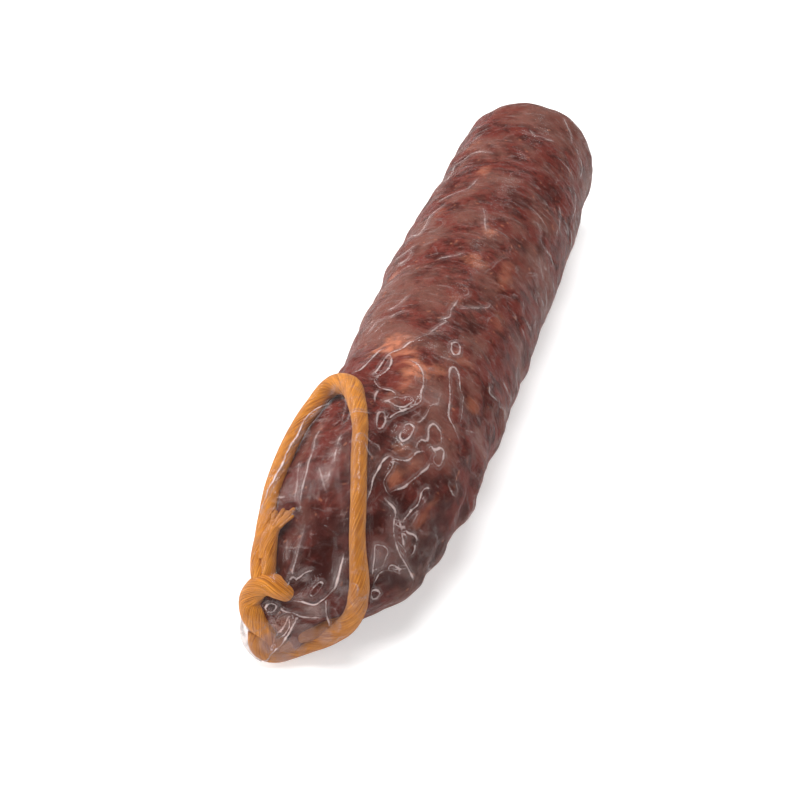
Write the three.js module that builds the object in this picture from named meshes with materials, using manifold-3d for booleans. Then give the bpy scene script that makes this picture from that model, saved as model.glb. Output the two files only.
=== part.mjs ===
// A vacuum-packed cured sausage: the sausage in its skin-tight clear film, and the hanging twine tied round its tail.
// Millimetres, +Z up. The sausage lies along Y with the tied tail at -Y, and its flat underside rests on Z = 0.
// The origin is on that underside, at half the sausage's length.

import * as THREE from "three";
import { mergeVertices } from "three/addons/utils/BufferGeometryUtils.js";
import Module from "manifold-3d";

// Body: a straight stick with a blunt far end
const BODY_RADIUS = 25.8;
const FAR_END_Y = 118;
const FAR_CAP_LENGTH = 16;
const FAR_CAP_POWER = 3;
const SQUASH = 0.8; // how far the round section is pressed flat underneath

// Tail: bends to one side and down as it narrows to the tied neck
const TAIL_START_Y = -46;
const TAIL_LENGTH = 61;
const TAIL_FULLNESS = 2.8;
const TAIL_ROUNDNESS = 0.58;
const TAIL_SHIFT = 15.2;
const TAIL_SHIFT_POWER = 2.06;
const NECK_HEIGHT = 15.8;
const TAIL_DROP_POWER = 1.82;
const NECK_RADIUS = 4.4;
const STUB_LENGTH = 2.5; // the bunched casing past the neck
const PLEAT_COUNT = 9;
const PLEAT_DEPTH = 0.13; // as a share of the radius, at the neck

// Lumps of the stuffed casing under the film
const LUMPS = [
  { height: 0.55, along: 34, around: 1, phase: 0.4 },
  { height: 0.45, along: 21, around: 2, phase: 2.1 },
  { height: 0.35, along: 15, around: 3, phase: 4.0 },
  { height: 0.25, along: 12, around: 5, phase: 1.2 },
];

// Twine: three plies laid up together
const TWINE_RADIUS = 2.6;
const TWINE_PLIES = 3;
const PLY_RADIUS = 1.55;
const TWINE_LAY = 17; // length of one full twist
const TWINE_SINK = 0.7; // how far the vacuum presses the twine into the casing
const TWINE_SIDES = 12;
const TWINE_STEP = 1.7;
const CUT_END_RADIUS = 1.9;
const CUT_END_TAPER = 0.45;
const KNOT_RADIUS = 2.9;
const GAP = 0.3; // clearance between the twine and the groove it lies in

// Mesh fineness
const AROUND = 44;
const BODY_STEP = 4.5;
const TAIL_RINGS = 19;
const CAP_RINGS = 7;
const GROOVE_SIDES = 8;
const GROOVE_STEP = 2.2;
const WELD = 0.02; // finer detail than this is dropped from the finished solids

const NECK_Y = TAIL_START_Y - TAIL_LENGTH;
const STUB_END_Y = NECK_Y - STUB_LENGTH;
const UP = new THREE.Vector3(0, 0, 1);
const wasm = await Module();
wasm.setup();

// How far along the tail y is: 0 where it starts and 1 at the neck.
function tailShare(y) {
  return Math.max(0, (TAIL_START_Y - y) / TAIL_LENGTH);
}

function bodyCentre(y) {
  const t = tailShare(y);
  const axisHeight = BODY_RADIUS - SQUASH;
  return new THREE.Vector3(
    -TAIL_SHIFT * t ** TAIL_SHIFT_POWER,
    y,
    axisHeight + (NECK_HEIGHT - axisHeight) * t ** TAIL_DROP_POWER,
  );
}

// The centre of the section at y, with the directions to its right and top.
function bodyFrame(y) {
  const along = bodyCentre(y - 0.01).sub(bodyCentre(y + 0.01)).normalize();
  const right = new THREE.Vector3().crossVectors(UP, along).normalize();
  return {
    centre: bodyCentre(y),
    right,
    top: new THREE.Vector3().crossVectors(along, right),
  };
}

function plainRadius(y) {
  const t = tailShare(y);
  if (t > 0) {
    const tapered = BODY_RADIUS * Math.max(0, 1 - t ** TAIL_FULLNESS) ** TAIL_ROUNDNESS;
    return Math.cbrt(tapered ** 3 + NECK_RADIUS ** 3);
  }
  const capShare = Math.max(0, 1 - (FAR_END_Y - y) / FAR_CAP_LENGTH);
  return BODY_RADIUS * (1 - capShare ** FAR_CAP_POWER) ** (1 / FAR_CAP_POWER);
}

// Lumps, which fade out underneath, and towards the neck the pleats of the gathered casing.
function relief(y, angle) {
  const radius = plainRadius(y);
  let height = 0;
  for (const lump of LUMPS) {
    const wave = Math.sin((2 * Math.PI * y) / lump.along + lump.phase);
    height += lump.height * wave * Math.cos(lump.around * angle + lump.phase);
  }
  const fade = (radius / BODY_RADIUS) * Math.min(1, 1 + Math.sin(angle));
  const pleats = PLEAT_DEPTH * radius * Math.cos(PLEAT_COUNT * angle) * Math.min(1, tailShare(y) ** 8);
  return height * fade + pleats;
}

// A point on the film, or lift above it. Angle 0 is the right side and 90 degrees the top.
function bodyPoint(y, angle, lift = 0) {
  const { centre, right, top } = bodyFrame(y);
  const reach = plainRadius(y) + relief(y, angle) + lift;
  return centre.addScaledVector(right, Math.cos(angle) * reach).addScaledVector(top, Math.sin(angle) * reach);
}

// Stations along the stick from the far end to the stub past the neck.
function bodyStations() {
  const stations = [];
  for (let i = 1; i <= CAP_RINGS; i++) {
    const turn = (Math.PI / 2) * (1 - i / (CAP_RINGS + 1));
    stations.push(FAR_END_Y - FAR_CAP_LENGTH * (1 - Math.sin(turn) ** (2 / FAR_CAP_POWER)));
  }
  const straightStart = FAR_END_Y - FAR_CAP_LENGTH;
  const straightSteps = Math.round((straightStart - TAIL_START_Y) / BODY_STEP);
  for (let i = 0; i < straightSteps; i++)
    stations.push(straightStart + ((TAIL_START_Y - straightStart) * i) / straightSteps);
  for (let i = 0; i <= TAIL_RINGS; i++)
    stations.push(TAIL_START_Y - TAIL_LENGTH * (i / TAIL_RINGS) ** 0.8);
  stations.push((NECK_Y + STUB_END_Y) / 2);
  stations.push(STUB_END_Y);
  return stations;
}

// Closes a list of rings, each a list of points, into one geometry with a pole at both ends.
function closedLoft(rings, firstPole, lastPole) {
  const sides = rings[0].length;
  const points = [firstPole, ...rings.flat(), lastPole];
  const lastIndex = points.length - 1;
  const index = [];
  for (let j = 0; j < sides; j++) {
    const next = (j + 1) % sides;
    index.push(0, 1 + next, 1 + j);
    index.push(lastIndex, lastIndex - sides + j, lastIndex - sides + next);
  }
  for (let i = 0; i < rings.length - 1; i++) {
    for (let j = 0; j < sides; j++) {
      const a = 1 + i * sides + j;
      const b = 1 + i * sides + ((j + 1) % sides);
      index.push(a, b, a + sides);
      index.push(b, b + sides, a + sides);
    }
  }
  return new THREE.BufferGeometry().setFromPoints(points).setIndex(index);
}

function bodyGeometry() {
  const stations = bodyStations();
  const rings = stations.map((y) => {
    const ring = [];
    for (let j = 0; j < AROUND; j++) {
      const point = bodyPoint(y, (2 * Math.PI * j) / AROUND);
      point.z = Math.max(0, point.z);
      ring.push(point);
    }
    return ring;
  });
  const farPole = bodyCentre(FAR_END_Y);
  const tailPole = bodyCentre(STUB_END_Y - 1);
  return closedLoft(rings, farPole, tailPole);
}

// A point of the twine's route that lies on the casing: distance along the stick, and degrees round it.
function onCasing(y, degrees, lift = TWINE_RADIUS - TWINE_SINK) {
  return bodyPoint(y, THREE.MathUtils.degToRad(degrees), lift);
}

function at(x, y, z) {
  return new THREE.Vector3(x, y, z);
}

// The hanging loop, laid back over the tail: out of the knot, up the left flank, over, down the right flank, and
// back to the knot under the tail.
function loopRoute() {
  return new THREE.CatmullRomCurve3([
    at(-18, -106.5, 21),
    onCasing(-105, 108),
    onCasing(-102, 117),
    onCasing(-98, 126),
    onCasing(-93, 133),
    onCasing(-86, 140),
    onCasing(-76, 144),
    onCasing(-65, 145),
    onCasing(-57, 142),
    onCasing(-52.5, 134),
    onCasing(-52, 125),
    onCasing(-55, 113),
    onCasing(-60.5, 104),
    onCasing(-67, 94),
    onCasing(-76, 82),
    onCasing(-84, 66),
    onCasing(-90, 52),
    onCasing(-94.5, 32),
    onCasing(-97.5, 12),
    at(3.8, -104.5, 15),
    at(1.4, -104.2, 9.5),
    at(-3.3, -105.2, 6),
    at(-9.4, -108, 4.6),
    at(-14.7, -110.8, 5),
    at(-18.6, -111, 8),
    at(-19, -108.8, 12.5),
  ]);
}

// The knot's bight round the neck. Both of its ends go in under the folds of the casing.
function knotRoute() {
  return new THREE.CatmullRomCurve3([
    at(-10.5, -101, 19),
    at(-11.6, -104.2, 21.8),
    at(-13.8, -105.9, 24.2),
    at(-17, -106, 24.6),
    at(-19.8, -106.3, 22.4),
    at(-21.2, -107, 18.8),
    at(-20.2, -108.2, 15.4),
    at(-17.6, -108.9, 12.8),
    at(-14.6, -108.2, 11.2),
    at(-12, -104, 12),
  ]);
}

// The two frayed ends that stick out of the knot beside the loop.
function cutEndRoutes() {
  return [
    new THREE.CatmullRomCurve3([
      at(-16.5, -105.8, 24),
      onCasing(-102.5, 99),
      onCasing(-99.5, 104),
      onCasing(-96.5, 107),
      onCasing(-93.5, 106),
      onCasing(-90.5, 103),
    ]),
    new THREE.CatmullRomCurve3([onCasing(-99, 110), onCasing(-95.5, 113), onCasing(-92.5, 116)]),
  ];
}

// Distance from the centre to the outline of the plies, at an angle across the twine.
function plyOutline(angle, radius) {
  const sector = (2 * Math.PI) / TWINE_PLIES;
  const fromPly = Math.abs(((angle % sector) + sector) % sector - sector / 2);
  const plyRadius = (PLY_RADIUS / TWINE_RADIUS) * radius;
  const offset = radius - plyRadius;
  const across = offset * Math.sin(fromPly);
  return offset * Math.cos(fromPly) + Math.sqrt(plyRadius ** 2 - across ** 2);
}

// A closed tube along a curve. reachAt gives the distance from the centre to the wall, from the share of the way
// along and the angle across. Both ends overrun the curve by the given length.
function tubeAlong(curve, { step, sides, reachAt, overrun = 0 }) {
  const steps = Math.ceil(curve.getLength() / step);
  const frames = curve.computeFrenetFrames(steps, false);
  const centres = curve.getSpacedPoints(steps);
  centres[0].addScaledVector(frames.tangents[0], -overrun);
  centres[steps].addScaledVector(frames.tangents[steps], overrun);
  const rings = centres.map((centre, i) => {
    const ring = [];
    for (let j = 0; j < sides; j++) {
      const angle = (2 * Math.PI * j) / sides;
      const reach = reachAt(i / steps, angle);
      const point = centre.clone().addScaledVector(frames.normals[i], reach * Math.cos(angle));
      ring.push(point.addScaledVector(frames.binormals[i], reach * Math.sin(angle)));
    }
    return ring;
  });
  return closedLoft(rings, centres[0], centres[steps]);
}

// The plies laid up round the curve. The far end narrows to endShare of the radius.
function twineGeometry(curve, radius, endShare = 1) {
  const turns = curve.getLength() / TWINE_LAY;
  const reachAt = (share, angle) => {
    const fromEnd = Math.min(1, (1 - share) * 3);
    return plyOutline(angle - 2 * Math.PI * turns * share, radius * THREE.MathUtils.lerp(endShare, 1, fromEnd));
  };
  return tubeAlong(curve, { step: TWINE_STEP, sides: TWINE_SIDES, reachAt });
}

// The plain round tube that clears the twine out of the casing.
function grooveGeometry(curve, twineRadius) {
  const cornerRadius = (twineRadius + GAP) / Math.cos(Math.PI / GROOVE_SIDES);
  return tubeAlong(curve, { step: GROOVE_STEP, sides: GROOVE_SIDES, reachAt: () => cornerRadius, overrun: GAP });
}

function toSolid(geometry) {
  const bare = geometry.clone();
  bare.deleteAttribute("normal");
  bare.deleteAttribute("uv");
  const merged = mergeVertices(bare, 1e-4);
  const solid = new wasm.Manifold(
    new wasm.Mesh({
      numProp: 3,
      vertProperties: new Float32Array(merged.attributes.position.array),
      triVerts: new Uint32Array(merged.index.array),
    }),
  );
  return solid;
}

function toGeometry(solid) {
  const mesh = solid.getMesh();
  const geometry = new THREE.BufferGeometry();
  geometry.setAttribute("position", new THREE.BufferAttribute(mesh.vertProperties, 3));
  geometry.setIndex(new THREE.BufferAttribute(mesh.triVerts, 1));
  geometry.computeVertexNormals();
  return geometry;
}

// Leaves out crumbs, and fills pinholes between neighbouring grooves.
function largestPiece(solid) {
  return solid.decompose().reduce((best, piece) => (piece.volume() > best.volume() ? piece : best));
}

function buildTwine() {
  let twine = toSolid(twineGeometry(loopRoute(), TWINE_RADIUS));
  twine = twine.add(toSolid(twineGeometry(knotRoute(), KNOT_RADIUS)));
  for (const route of cutEndRoutes())
    twine = twine.add(toSolid(twineGeometry(route, CUT_END_RADIUS, CUT_END_TAPER)));
  return largestPiece(twine.simplify(WELD));
}

function buildSausage() {
  let sausage = toSolid(bodyGeometry());
  sausage = sausage.subtract(toSolid(grooveGeometry(loopRoute(), TWINE_RADIUS)));
  sausage = sausage.subtract(toSolid(grooveGeometry(knotRoute(), KNOT_RADIUS)));
  for (const route of cutEndRoutes())
    sausage = sausage.subtract(toSolid(grooveGeometry(route, CUT_END_RADIUS)));
  return largestPiece(sausage.simplify(WELD));
}

function namedMesh(name, solid, material) {
  const mesh = new THREE.Mesh(toGeometry(solid), material);
  mesh.name = name;
  return mesh;
}

const casingInFilm = new THREE.MeshStandardMaterial({ color: 0x6b2f2a, roughness: 0.35, metalness: 0 });
const dyedCotton = new THREE.MeshStandardMaterial({ color: 0xcf8431, roughness: 0.85, metalness: 0 });

const pack = new THREE.Group();
pack.add(namedMesh("sausage_in_film", buildSausage(), casingInFilm));
pack.add(namedMesh("twine", buildTwine(), dyedCotton));

export default pack;
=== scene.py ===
"""A cured sausage in tight clear film, with the hanging twine tied round its tail.

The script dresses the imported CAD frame. The stick lies along Y with its tied tail at -Y, and its flat
underside rests on Z = 0. Lengths are in metres, and MM turns millimetres into them.
"""

import logging
import math
from collections.abc import Callable, Sequence
from dataclasses import dataclass, field
from enum import Enum

import bmesh
import bpy
import numpy as np
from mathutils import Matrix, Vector, noise
from mathutils.bvhtree import BVHTree

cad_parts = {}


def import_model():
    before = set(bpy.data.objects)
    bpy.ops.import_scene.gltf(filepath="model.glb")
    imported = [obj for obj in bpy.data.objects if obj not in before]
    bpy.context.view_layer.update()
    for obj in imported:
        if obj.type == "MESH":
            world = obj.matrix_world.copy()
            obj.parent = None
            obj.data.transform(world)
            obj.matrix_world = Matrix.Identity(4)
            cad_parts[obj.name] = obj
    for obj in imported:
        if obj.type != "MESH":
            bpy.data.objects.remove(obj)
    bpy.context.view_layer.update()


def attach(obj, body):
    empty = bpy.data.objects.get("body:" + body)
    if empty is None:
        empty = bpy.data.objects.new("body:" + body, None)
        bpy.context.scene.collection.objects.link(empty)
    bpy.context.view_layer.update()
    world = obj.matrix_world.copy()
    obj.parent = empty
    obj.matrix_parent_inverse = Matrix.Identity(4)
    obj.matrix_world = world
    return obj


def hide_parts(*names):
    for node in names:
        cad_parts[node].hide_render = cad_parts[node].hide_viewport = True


MM = 0.001
UP = Vector((0.0, 0.0, 1.0))
MERGE_GAP = 0.0005 * MM
# The scale and the size of each layer of noise in a patch's ragged edge.
RAGGED = ((1.0, 0.6), (2.7, 0.5), (6.1, 0.3))
WRAP_MAP = "along_around"
STAIN_AND_SHADE = "stain_and_shade"
VEIL = "veil"
SKIN = "skin"
# The millimetres that stand for no crease nearby.
FAR_SIDE = 9.0
# How far out the rays start that find what the film holds.
RAY_START = 70 * MM
# Where the noise that bends the rings is read for X, Y and Z.
BEND_OFFSETS = (Vector((0.0, 0.0, 0.0)), Vector((31.4, 7.7, 12.9)), Vector((5.3, 47.1, 23.8)))
LOG = logging.getLogger("sausage")

FLAP_INNER = (
    (-22.1, -110.0, 14.5),
    (-21.1, -110.9, 12.0),
    (-19.6, -111.0, 9.5),
    (-18.5, -110.9, 7.0),
    (-18.2, -111.0, 4.5),
    (-18.4, -111.3, 2.0),
    (-17.9, -111.5, 0.8),
)
FLAP_OUTER = (
    (-23.1, -110.3, 14.8),
    (-23.4, -111.1, 11.0),
    (-23.3, -111.4, 7.5),
    (-22.5, -111.5, 4.8),
    (-21.4, -111.3, 2.4),
    (-19.8, -111.4, 1.0),
    (-18.1, -111.5, 0.4),
)

Triple = tuple[float, float, float]
Colour = Triple
Socket = bpy.types.NodeSocket
Place = Callable[[float, float], Vector]
Mark = Callable[[float, float], float]


class Body(Enum):
    """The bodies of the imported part."""

    ROOT = "root"


class Node(Enum):
    """The CAD nodes that the pieces stand for."""

    SAUSAGE = "sausage_in_film"
    TWINE = "twine"


class Slot(Enum):
    """The record's material slots."""

    CASING = "casing"
    TWINE = "twine"
    FILM = "film"


class Tone(Enum):
    """The tones of the meat, each kept on the sausage as an attribute of that name. Some dark patches on the
    tail are painted shade beside the twine.
    """

    FAT = "fat"
    DARK = "dark"
    BROWN = "brown"


class Line(Enum):
    """The kinds of crease, each kept on the film as a distance to its side and a strength nearby."""

    RING = "ring"
    HOOP = "hoop"
    FOLD = "fold"

    @property
    def side(self) -> str:
        """Returns the attribute that holds the distance to one side, in millimetres."""
        return f"{self.value}_side"

    @property
    def near(self) -> str:
        """Returns the attribute that holds the crease's strength nearby."""
        return f"{self.value}_near"


def linear(red: int, green: int, blue: int) -> Colour:
    """Turns a display colour into a linear one.

    Args:
        red: The display value, from 0 to 255.
        green: The display value, from 0 to 255.
        blue: The display value, from 0 to 255.

    Returns:
        The linear red, green and blue.
    """
    def one(value: int) -> float:
        """Returns one linear channel."""
        share = value / 255
        return share / 12.92 if share <= 0.04045 else ((share + 0.055) / 1.055) ** 2.4

    return one(red), one(green), one(blue)


def smooth_share(value: float, low: float, high: float) -> float:
    """Eases from 0 at low to 1 at high.

    Args:
        value: Where to read the curve.
        low: The value that gives 0.
        high: The value that gives 1.

    Returns:
        A share from 0 to 1.
    """
    share = min(1.0, max(0.0, (value - low) / (high - low)))
    return share * share * (3 - 2 * share)


def smooth_shares(values: np.ndarray, low: float, high: float) -> np.ndarray:
    """Eases each value from 0 at low to 1 at high."""
    shares = np.clip((values - low) / (high - low), 0, 1)
    return shares * shares * (3 - 2 * shares)


class Piece:
    """A mesh piece of the part, kept at the origin with its place in its mesh."""

    def __init__(self, name: str, shape: bmesh.types.BMesh, levels: int = 0) -> None:
        """Makes the object from a finished bmesh.

        Args:
            name: The object's name.
            shape: The bmesh, which is used up.
            levels: The levels of subdivision that stay live on the piece.
        """
        mesh = bpy.data.meshes.new(name)
        bmesh.ops.recalc_face_normals(shape, faces=shape.faces)
        for face in shape.faces:
            face.smooth = True
        shape.to_mesh(mesh)
        shape.free()
        self.thing = bpy.data.objects.new(name, mesh)
        bpy.context.scene.collection.objects.link(self.thing)
        if levels:
            rounding = self.thing.modifiers.new("rounding", "SUBSURF")
            rounding.levels = levels
            rounding.render_levels = levels

    def wear(self, finish: "Finish", slot: Slot) -> None:
        """Gives the piece its finish."""
        self.thing.data.materials.append(finish.material())

    def settle(self, *nodes: Node) -> None:
        """Rides on the root body and stands for the given CAD nodes.

        Args:
            *nodes: The nodes.
        """
        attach(self.thing, Body.ROOT.value)
        if nodes:
            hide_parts(*(node.value for node in nodes))
        LOG.info("%s: %d faces", self.thing.name, len(self.thing.data.polygons))


def wrapped_grid(
    rows: int,
    columns: int,
    place: Place,
    marks: dict[str, Mark] | None = None,
    stretch: tuple[float, float] = (1.0, 1.0),
) -> bmesh.types.BMesh:
    """Carries a flat grid onto a surface that closes on itself.

    Args:
        rows: The number of faces along.
        columns: The number of faces around.
        place: Gives a point from the share along and the share around.
        marks: Values to keep on each point, by name, read from the same two shares.
        stretch: The UV lengths along and around.

    Returns:
        The closed shape, with its seam and its ends merged.
    """
    shape = bmesh.new()
    bmesh.ops.create_grid(shape, x_segments=rows, y_segments=columns, size=0.5)
    unwrapped = shape.loops.layers.uv.new(WRAP_MAP)
    for face in shape.faces:
        for loop in face.loops:
            flat = loop.vert.co
            loop[unwrapped].uv = ((flat.x + 0.5) * stretch[0], (flat.y + 0.5) * stretch[1])
    layers = {name: shape.verts.layers.float.new(name) for name in marks or {}}
    for vert in shape.verts:
        along, around = vert.co.x + 0.5, vert.co.y + 0.5
        for name, layer in layers.items():
            vert[layer] = marks[name](along, around)
        vert.co = place(along, around)
    bmesh.ops.remove_doubles(shape, verts=shape.verts, dist=MERGE_GAP)
    bmesh.ops.dissolve_degenerate(shape, edges=shape.edges, dist=MERGE_GAP)
    return shape


@dataclass(frozen=True)
class Stick:
    """The form of the stuffed casing, as the CAD solid has it.

    Attributes:
        radius: Half the thickness of the straight part.
        far_end: Where the blunt end stops along Y.
        cap_length: How much of the far end is rounded.
        cap_power: The higher, the blunter the far end.
        squash: How far the section is pressed flat underneath.
        tail_start: Where the tail starts to narrow.
        tail_length: From there to the tied neck.
        tail_fullness: The higher, the later the tail narrows.
        tail_roundness: The lower, the blunter the tail ends.
        tail_shift: How far to the left the neck lies.
        tail_shift_power: The higher, the later the tail bends aside.
        neck_height: The height of the neck's centre.
        tail_drop_power: The higher, the later the tail bends down.
        neck_radius: The radius of the gathered casing.
        stub_length: The bunched casing past the neck.
        pleat_count: The pleats round the neck.
        pleat_depth: Their depth at the neck, as a share of the radius.
        lumps: Height, length along, waves around and phase of each wave of lumps.
    """

    radius: float = 25.8 * MM
    far_end: float = 120 * MM
    cap_length: float = 16 * MM
    cap_power: float = 3.0
    squash: float = 0.8 * MM
    tail_start: float = -46 * MM
    tail_length: float = 61 * MM
    tail_fullness: float = 2.8
    tail_roundness: float = 0.58
    tail_shift: float = 15.2 * MM
    tail_shift_power: float = 2.06
    neck_height: float = 15.8 * MM
    tail_drop_power: float = 1.82
    neck_radius: float = 4.4 * MM
    stub_length: float = 2.5 * MM
    pleat_count: int = 9
    pleat_depth: float = 0.13
    lumps: tuple[tuple[float, float, int, float], ...] = (
        (0.32 * MM, 34 * MM, 1, 0.4),
        (0.26 * MM, 21 * MM, 2, 2.1),
        (0.20 * MM, 15 * MM, 3, 4.0),
        (0.15 * MM, 12 * MM, 5, 1.2),
    )

    @property
    def neck(self) -> float:
        """Where the neck is along Y."""
        return self.tail_start - self.tail_length

    def tail_share(self, y: float) -> float:
        """Returns 0 where the tail starts, and 1 at the neck."""
        return max(0.0, (self.tail_start - y) / self.tail_length)

    def centre(self, y: float) -> Vector:
        """Finds the centre of a section.

        Args:
            y: The place along the stick.

        Returns:
            The centre.
        """
        share = self.tail_share(y)
        axis_height = self.radius - self.squash
        drop = (self.neck_height - axis_height) * share ** self.tail_drop_power
        return Vector((-self.tail_shift * share ** self.tail_shift_power, y, axis_height + drop))

    def axes(self, y: float) -> tuple[Vector, Vector, Vector]:
        """Finds the directions of the section at y.

        Args:
            y: The place along the stick.

        Returns:
            The way along towards the tail, the way to the right, and the way to the top.
        """
        reach = 0.01 * MM
        along = (self.centre(y - reach) - self.centre(y + reach)).normalized()
        right = UP.cross(along).normalized()
        return along, right, along.cross(right)

    def radius_at(self, y: float) -> float:
        """Finds the radius of a section, without lumps.

        Args:
            y: The place along the stick.

        Returns:
            The radius.
        """
        share = self.tail_share(y)
        if share > 0:
            narrowed = max(0.0, 1 - share ** self.tail_fullness) ** self.tail_roundness
            return ((self.radius * narrowed) ** 3 + self.neck_radius ** 3) ** (1 / 3)
        cap_share = min(1.0, max(0.0, 1 - (self.far_end - y) / self.cap_length))
        return self.radius * (1 - cap_share ** self.cap_power) ** (1 / self.cap_power)

    def relief(self, y: float, angle: float) -> float:
        """Measures the lumps and pleats.

        Args:
            y: The place along the stick.
            angle: The angle round it, where the top is a quarter turn.

        Returns:
            Their height.
        """
        radius = self.radius_at(y)
        height = 0.0
        for size, length, waves, phase in self.lumps:
            height += size * math.sin(2 * math.pi * y / length + phase) * math.cos(waves * angle + phase)
        fade = radius / self.radius * min(1.0, 1 + math.sin(angle))
        pleats = self.pleat_depth * radius * math.cos(self.pleat_count * angle)
        return height * fade + pleats * min(1.0, self.tail_share(y) ** 8)

    def point(self, y: float, angle: float, lift: float = 0.0) -> Vector:
        """Finds a point on the surface, or above it.

        Args:
            y: The place along the stick.
            angle: The angle round it, where 0 is the right side and a quarter turn the top.
            lift: The height above the surface.

        Returns:
            The point.
        """
        _, right, top = self.axes(y)
        reach = self.radius_at(y) + self.relief(y, angle) + lift
        return self.centre(y) + right * (math.cos(angle) * reach) + top * (math.sin(angle) * reach)

    def stations(self, rows: int) -> list[float]:
        """Spreads places along the stick evenly over its profile, both ends included.

        Args:
            rows: The number of steps between them.

        Returns:
            The places along Y, from the far end to the end of the stub.
        """
        fine = 4000
        last = self.neck - self.stub_length
        turns = np.linspace(math.pi / 2, 0, fine // 8)
        cap = self.far_end - self.cap_length * (1 - np.sin(turns) ** (2 / self.cap_power))
        rest = np.linspace(self.far_end - self.cap_length, last, fine)[1:]
        places = np.concatenate([cap, rest])
        radii = np.array([self.radius_at(float(y)) for y in places])
        radii[0] = 0.0
        steps = np.hypot(np.diff(places), np.diff(radii))
        walked = np.concatenate([[0.0], np.cumsum(steps)])
        return [float(y) for y in np.interp(np.linspace(0, walked[-1], rows + 1), walked, places)]


@dataclass(frozen=True)
class Grain:
    """A noise pattern.

    Attributes:
        size: The size of its blotches, in the units of the place it is read from.
        detail: How many finer layers it has.
        roughness: How strong they are.
        distortion: How far it is swirled.
        stretch: A factor on each axis, where a higher one packs it closer, or None for an even pattern.
    """

    size: float
    detail: float = 3.0
    roughness: float = 0.55
    distortion: float = 0.0
    stretch: Triple | None = None


@dataclass(frozen=True)
class Ease:
    """A smooth step.

    Attributes:
        low: The input where it starts.
        high: The input where it ends.
        start: The output up to there.
        end: The output from there on.
    """

    low: float
    high: float
    start: float = 0.0
    end: float = 1.0


class Finish:
    """A material that is built from nodes."""

    name = "finish"

    def material(self) -> bpy.types.Material:
        """Builds the material on its first use.

        Returns:
            The material.
        """
        found = bpy.data.materials.get(self.name)
        if found:
            return found
        made = bpy.data.materials.new(self.name)
        made.use_nodes = True
        made.node_tree.nodes.clear()
        graph = Graph(made.node_tree)
        output = graph.add("ShaderNodeOutputMaterial")
        graph.join(self.shader(graph), output.inputs["Surface"])
        return made

    def shader(self, graph: "Graph") -> Socket:
        """Builds the shader and returns its output."""
        raise NotImplementedError


class Graph:
    """A node tree with short ways to add the nodes that the finishes share."""

    def __init__(self, tree: bpy.types.NodeTree) -> None:
        """Keeps the tree that is built."""
        self.tree = tree

    def add(self, kind: str, **settings: object) -> bpy.types.Node:
        """Adds a node.

        Args:
            kind: Its kind.
            **settings: Its properties.

        Returns:
            The node.
        """
        made = self.tree.nodes.new(kind)
        for name, value in settings.items():
            setattr(made, name, value)
        return made

    def join(self, source: object, socket: Socket) -> None:
        """Links an output to a socket, or sets the socket to a plain value.

        Args:
            source: The output or the value.
            socket: The socket.
        """
        if isinstance(source, bpy.types.NodeSocket):
            self.tree.links.new(source, socket)
        else:
            socket.default_value = source

    def feed(self, node: bpy.types.Node, **values: object) -> bpy.types.Node:
        """Joins values to a node's sockets.

        Args:
            node: The node.
            **values: The values by socket name, with _ for each space.

        Returns:
            The node.
        """
        for name, value in values.items():
            self.join(value, node.inputs[name.replace("_", " ")])
        return node

    def place(self) -> Socket:
        """Returns the object's own coordinates."""
        return self.add("ShaderNodeTexCoord").outputs["Object"]

    def split(self, source: Socket) -> bpy.types.NodeOutputs:
        """Returns the X, Y and Z of a vector."""
        return self.feed(self.add("ShaderNodeSeparateXYZ"), Vector=source).outputs

    def attribute(self, name: str) -> Socket:
        """Returns a value that is kept on the mesh."""
        return self.add("ShaderNodeAttribute", attribute_name=name).outputs["Fac"]

    def noise(self, place: Socket, grain: Grain) -> Socket:
        """Adds a noise.

        Args:
            place: The place it is read from.
            grain: Its grain.

        Returns:
            The noise.
        """
        if grain.stretch:
            mapping = self.feed(self.add("ShaderNodeMapping"), Vector=place, Scale=grain.stretch)
            place = mapping.outputs["Vector"]
        made = self.feed(
            self.add("ShaderNodeTexNoise"),
            Vector=place,
            Scale=1 / grain.size,
            Detail=grain.detail,
            Roughness=grain.roughness,
            Distortion=grain.distortion,
        )
        return made.outputs["Fac"]

    def math(self, operation: str, *sources: object) -> Socket:
        """Adds a Math node.

        Args:
            operation: Its operation.
            *sources: Its sockets' sources.

        Returns:
            The result.
        """
        made = self.add("ShaderNodeMath", operation=operation)
        for source, socket in zip(sources, made.inputs):
            self.join(source, socket)
        return made.outputs["Value"]

    def times(self, first: object, second: object) -> Socket:
        """Returns a product."""
        return self.math("MULTIPLY", first, second)

    def plus(self, first: object, *others: object) -> Socket:
        """Adds values up.

        Args:
            first: The first value.
            *others: The others.

        Returns:
            The sum.
        """
        for other in others:
            first = self.math("ADD", first, other)
        return first

    def eased(self, value: Socket, ease: Ease) -> Socket:
        """Puts a value through a smooth step.

        Args:
            value: The value.
            ease: The step.

        Returns:
            The result.
        """
        made = self.feed(
            self.add("ShaderNodeMapRange", interpolation_type="SMOOTHSTEP"),
            Value=value,
            From_Min=ease.low,
            From_Max=ease.high,
            To_Min=ease.start,
            To_Max=ease.end,
        )
        return made.outputs["Result"]

    def blend(self, share: object, first: object, second: object) -> Socket:
        """Mixes two colours.

        Args:
            share: The share of the second.
            first: The first.
            second: The second.

        Returns:
            The mix.
        """
        first, second = ((*side, 1.0) if isinstance(side, tuple) else side for side in (first, second))
        made = self.feed(self.add("ShaderNodeMix", data_type="RGBA"), Factor=share, A=first, B=second)
        return made.outputs["Result"]

    def bump(self, height: object, depth: float) -> Socket:
        """Returns a normal that follows a height, where depth is in metres."""
        made = self.feed(self.add("ShaderNodeBump"), Height=height, Distance=depth, Strength=1.0)
        return made.outputs["Normal"]

    def principled(self, **values: object) -> Socket:
        """Returns the shader of a Principled node with the given sockets."""
        return self.feed(self.add("ShaderNodeBsdfPrincipled"), **values).outputs["BSDF"]


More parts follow.
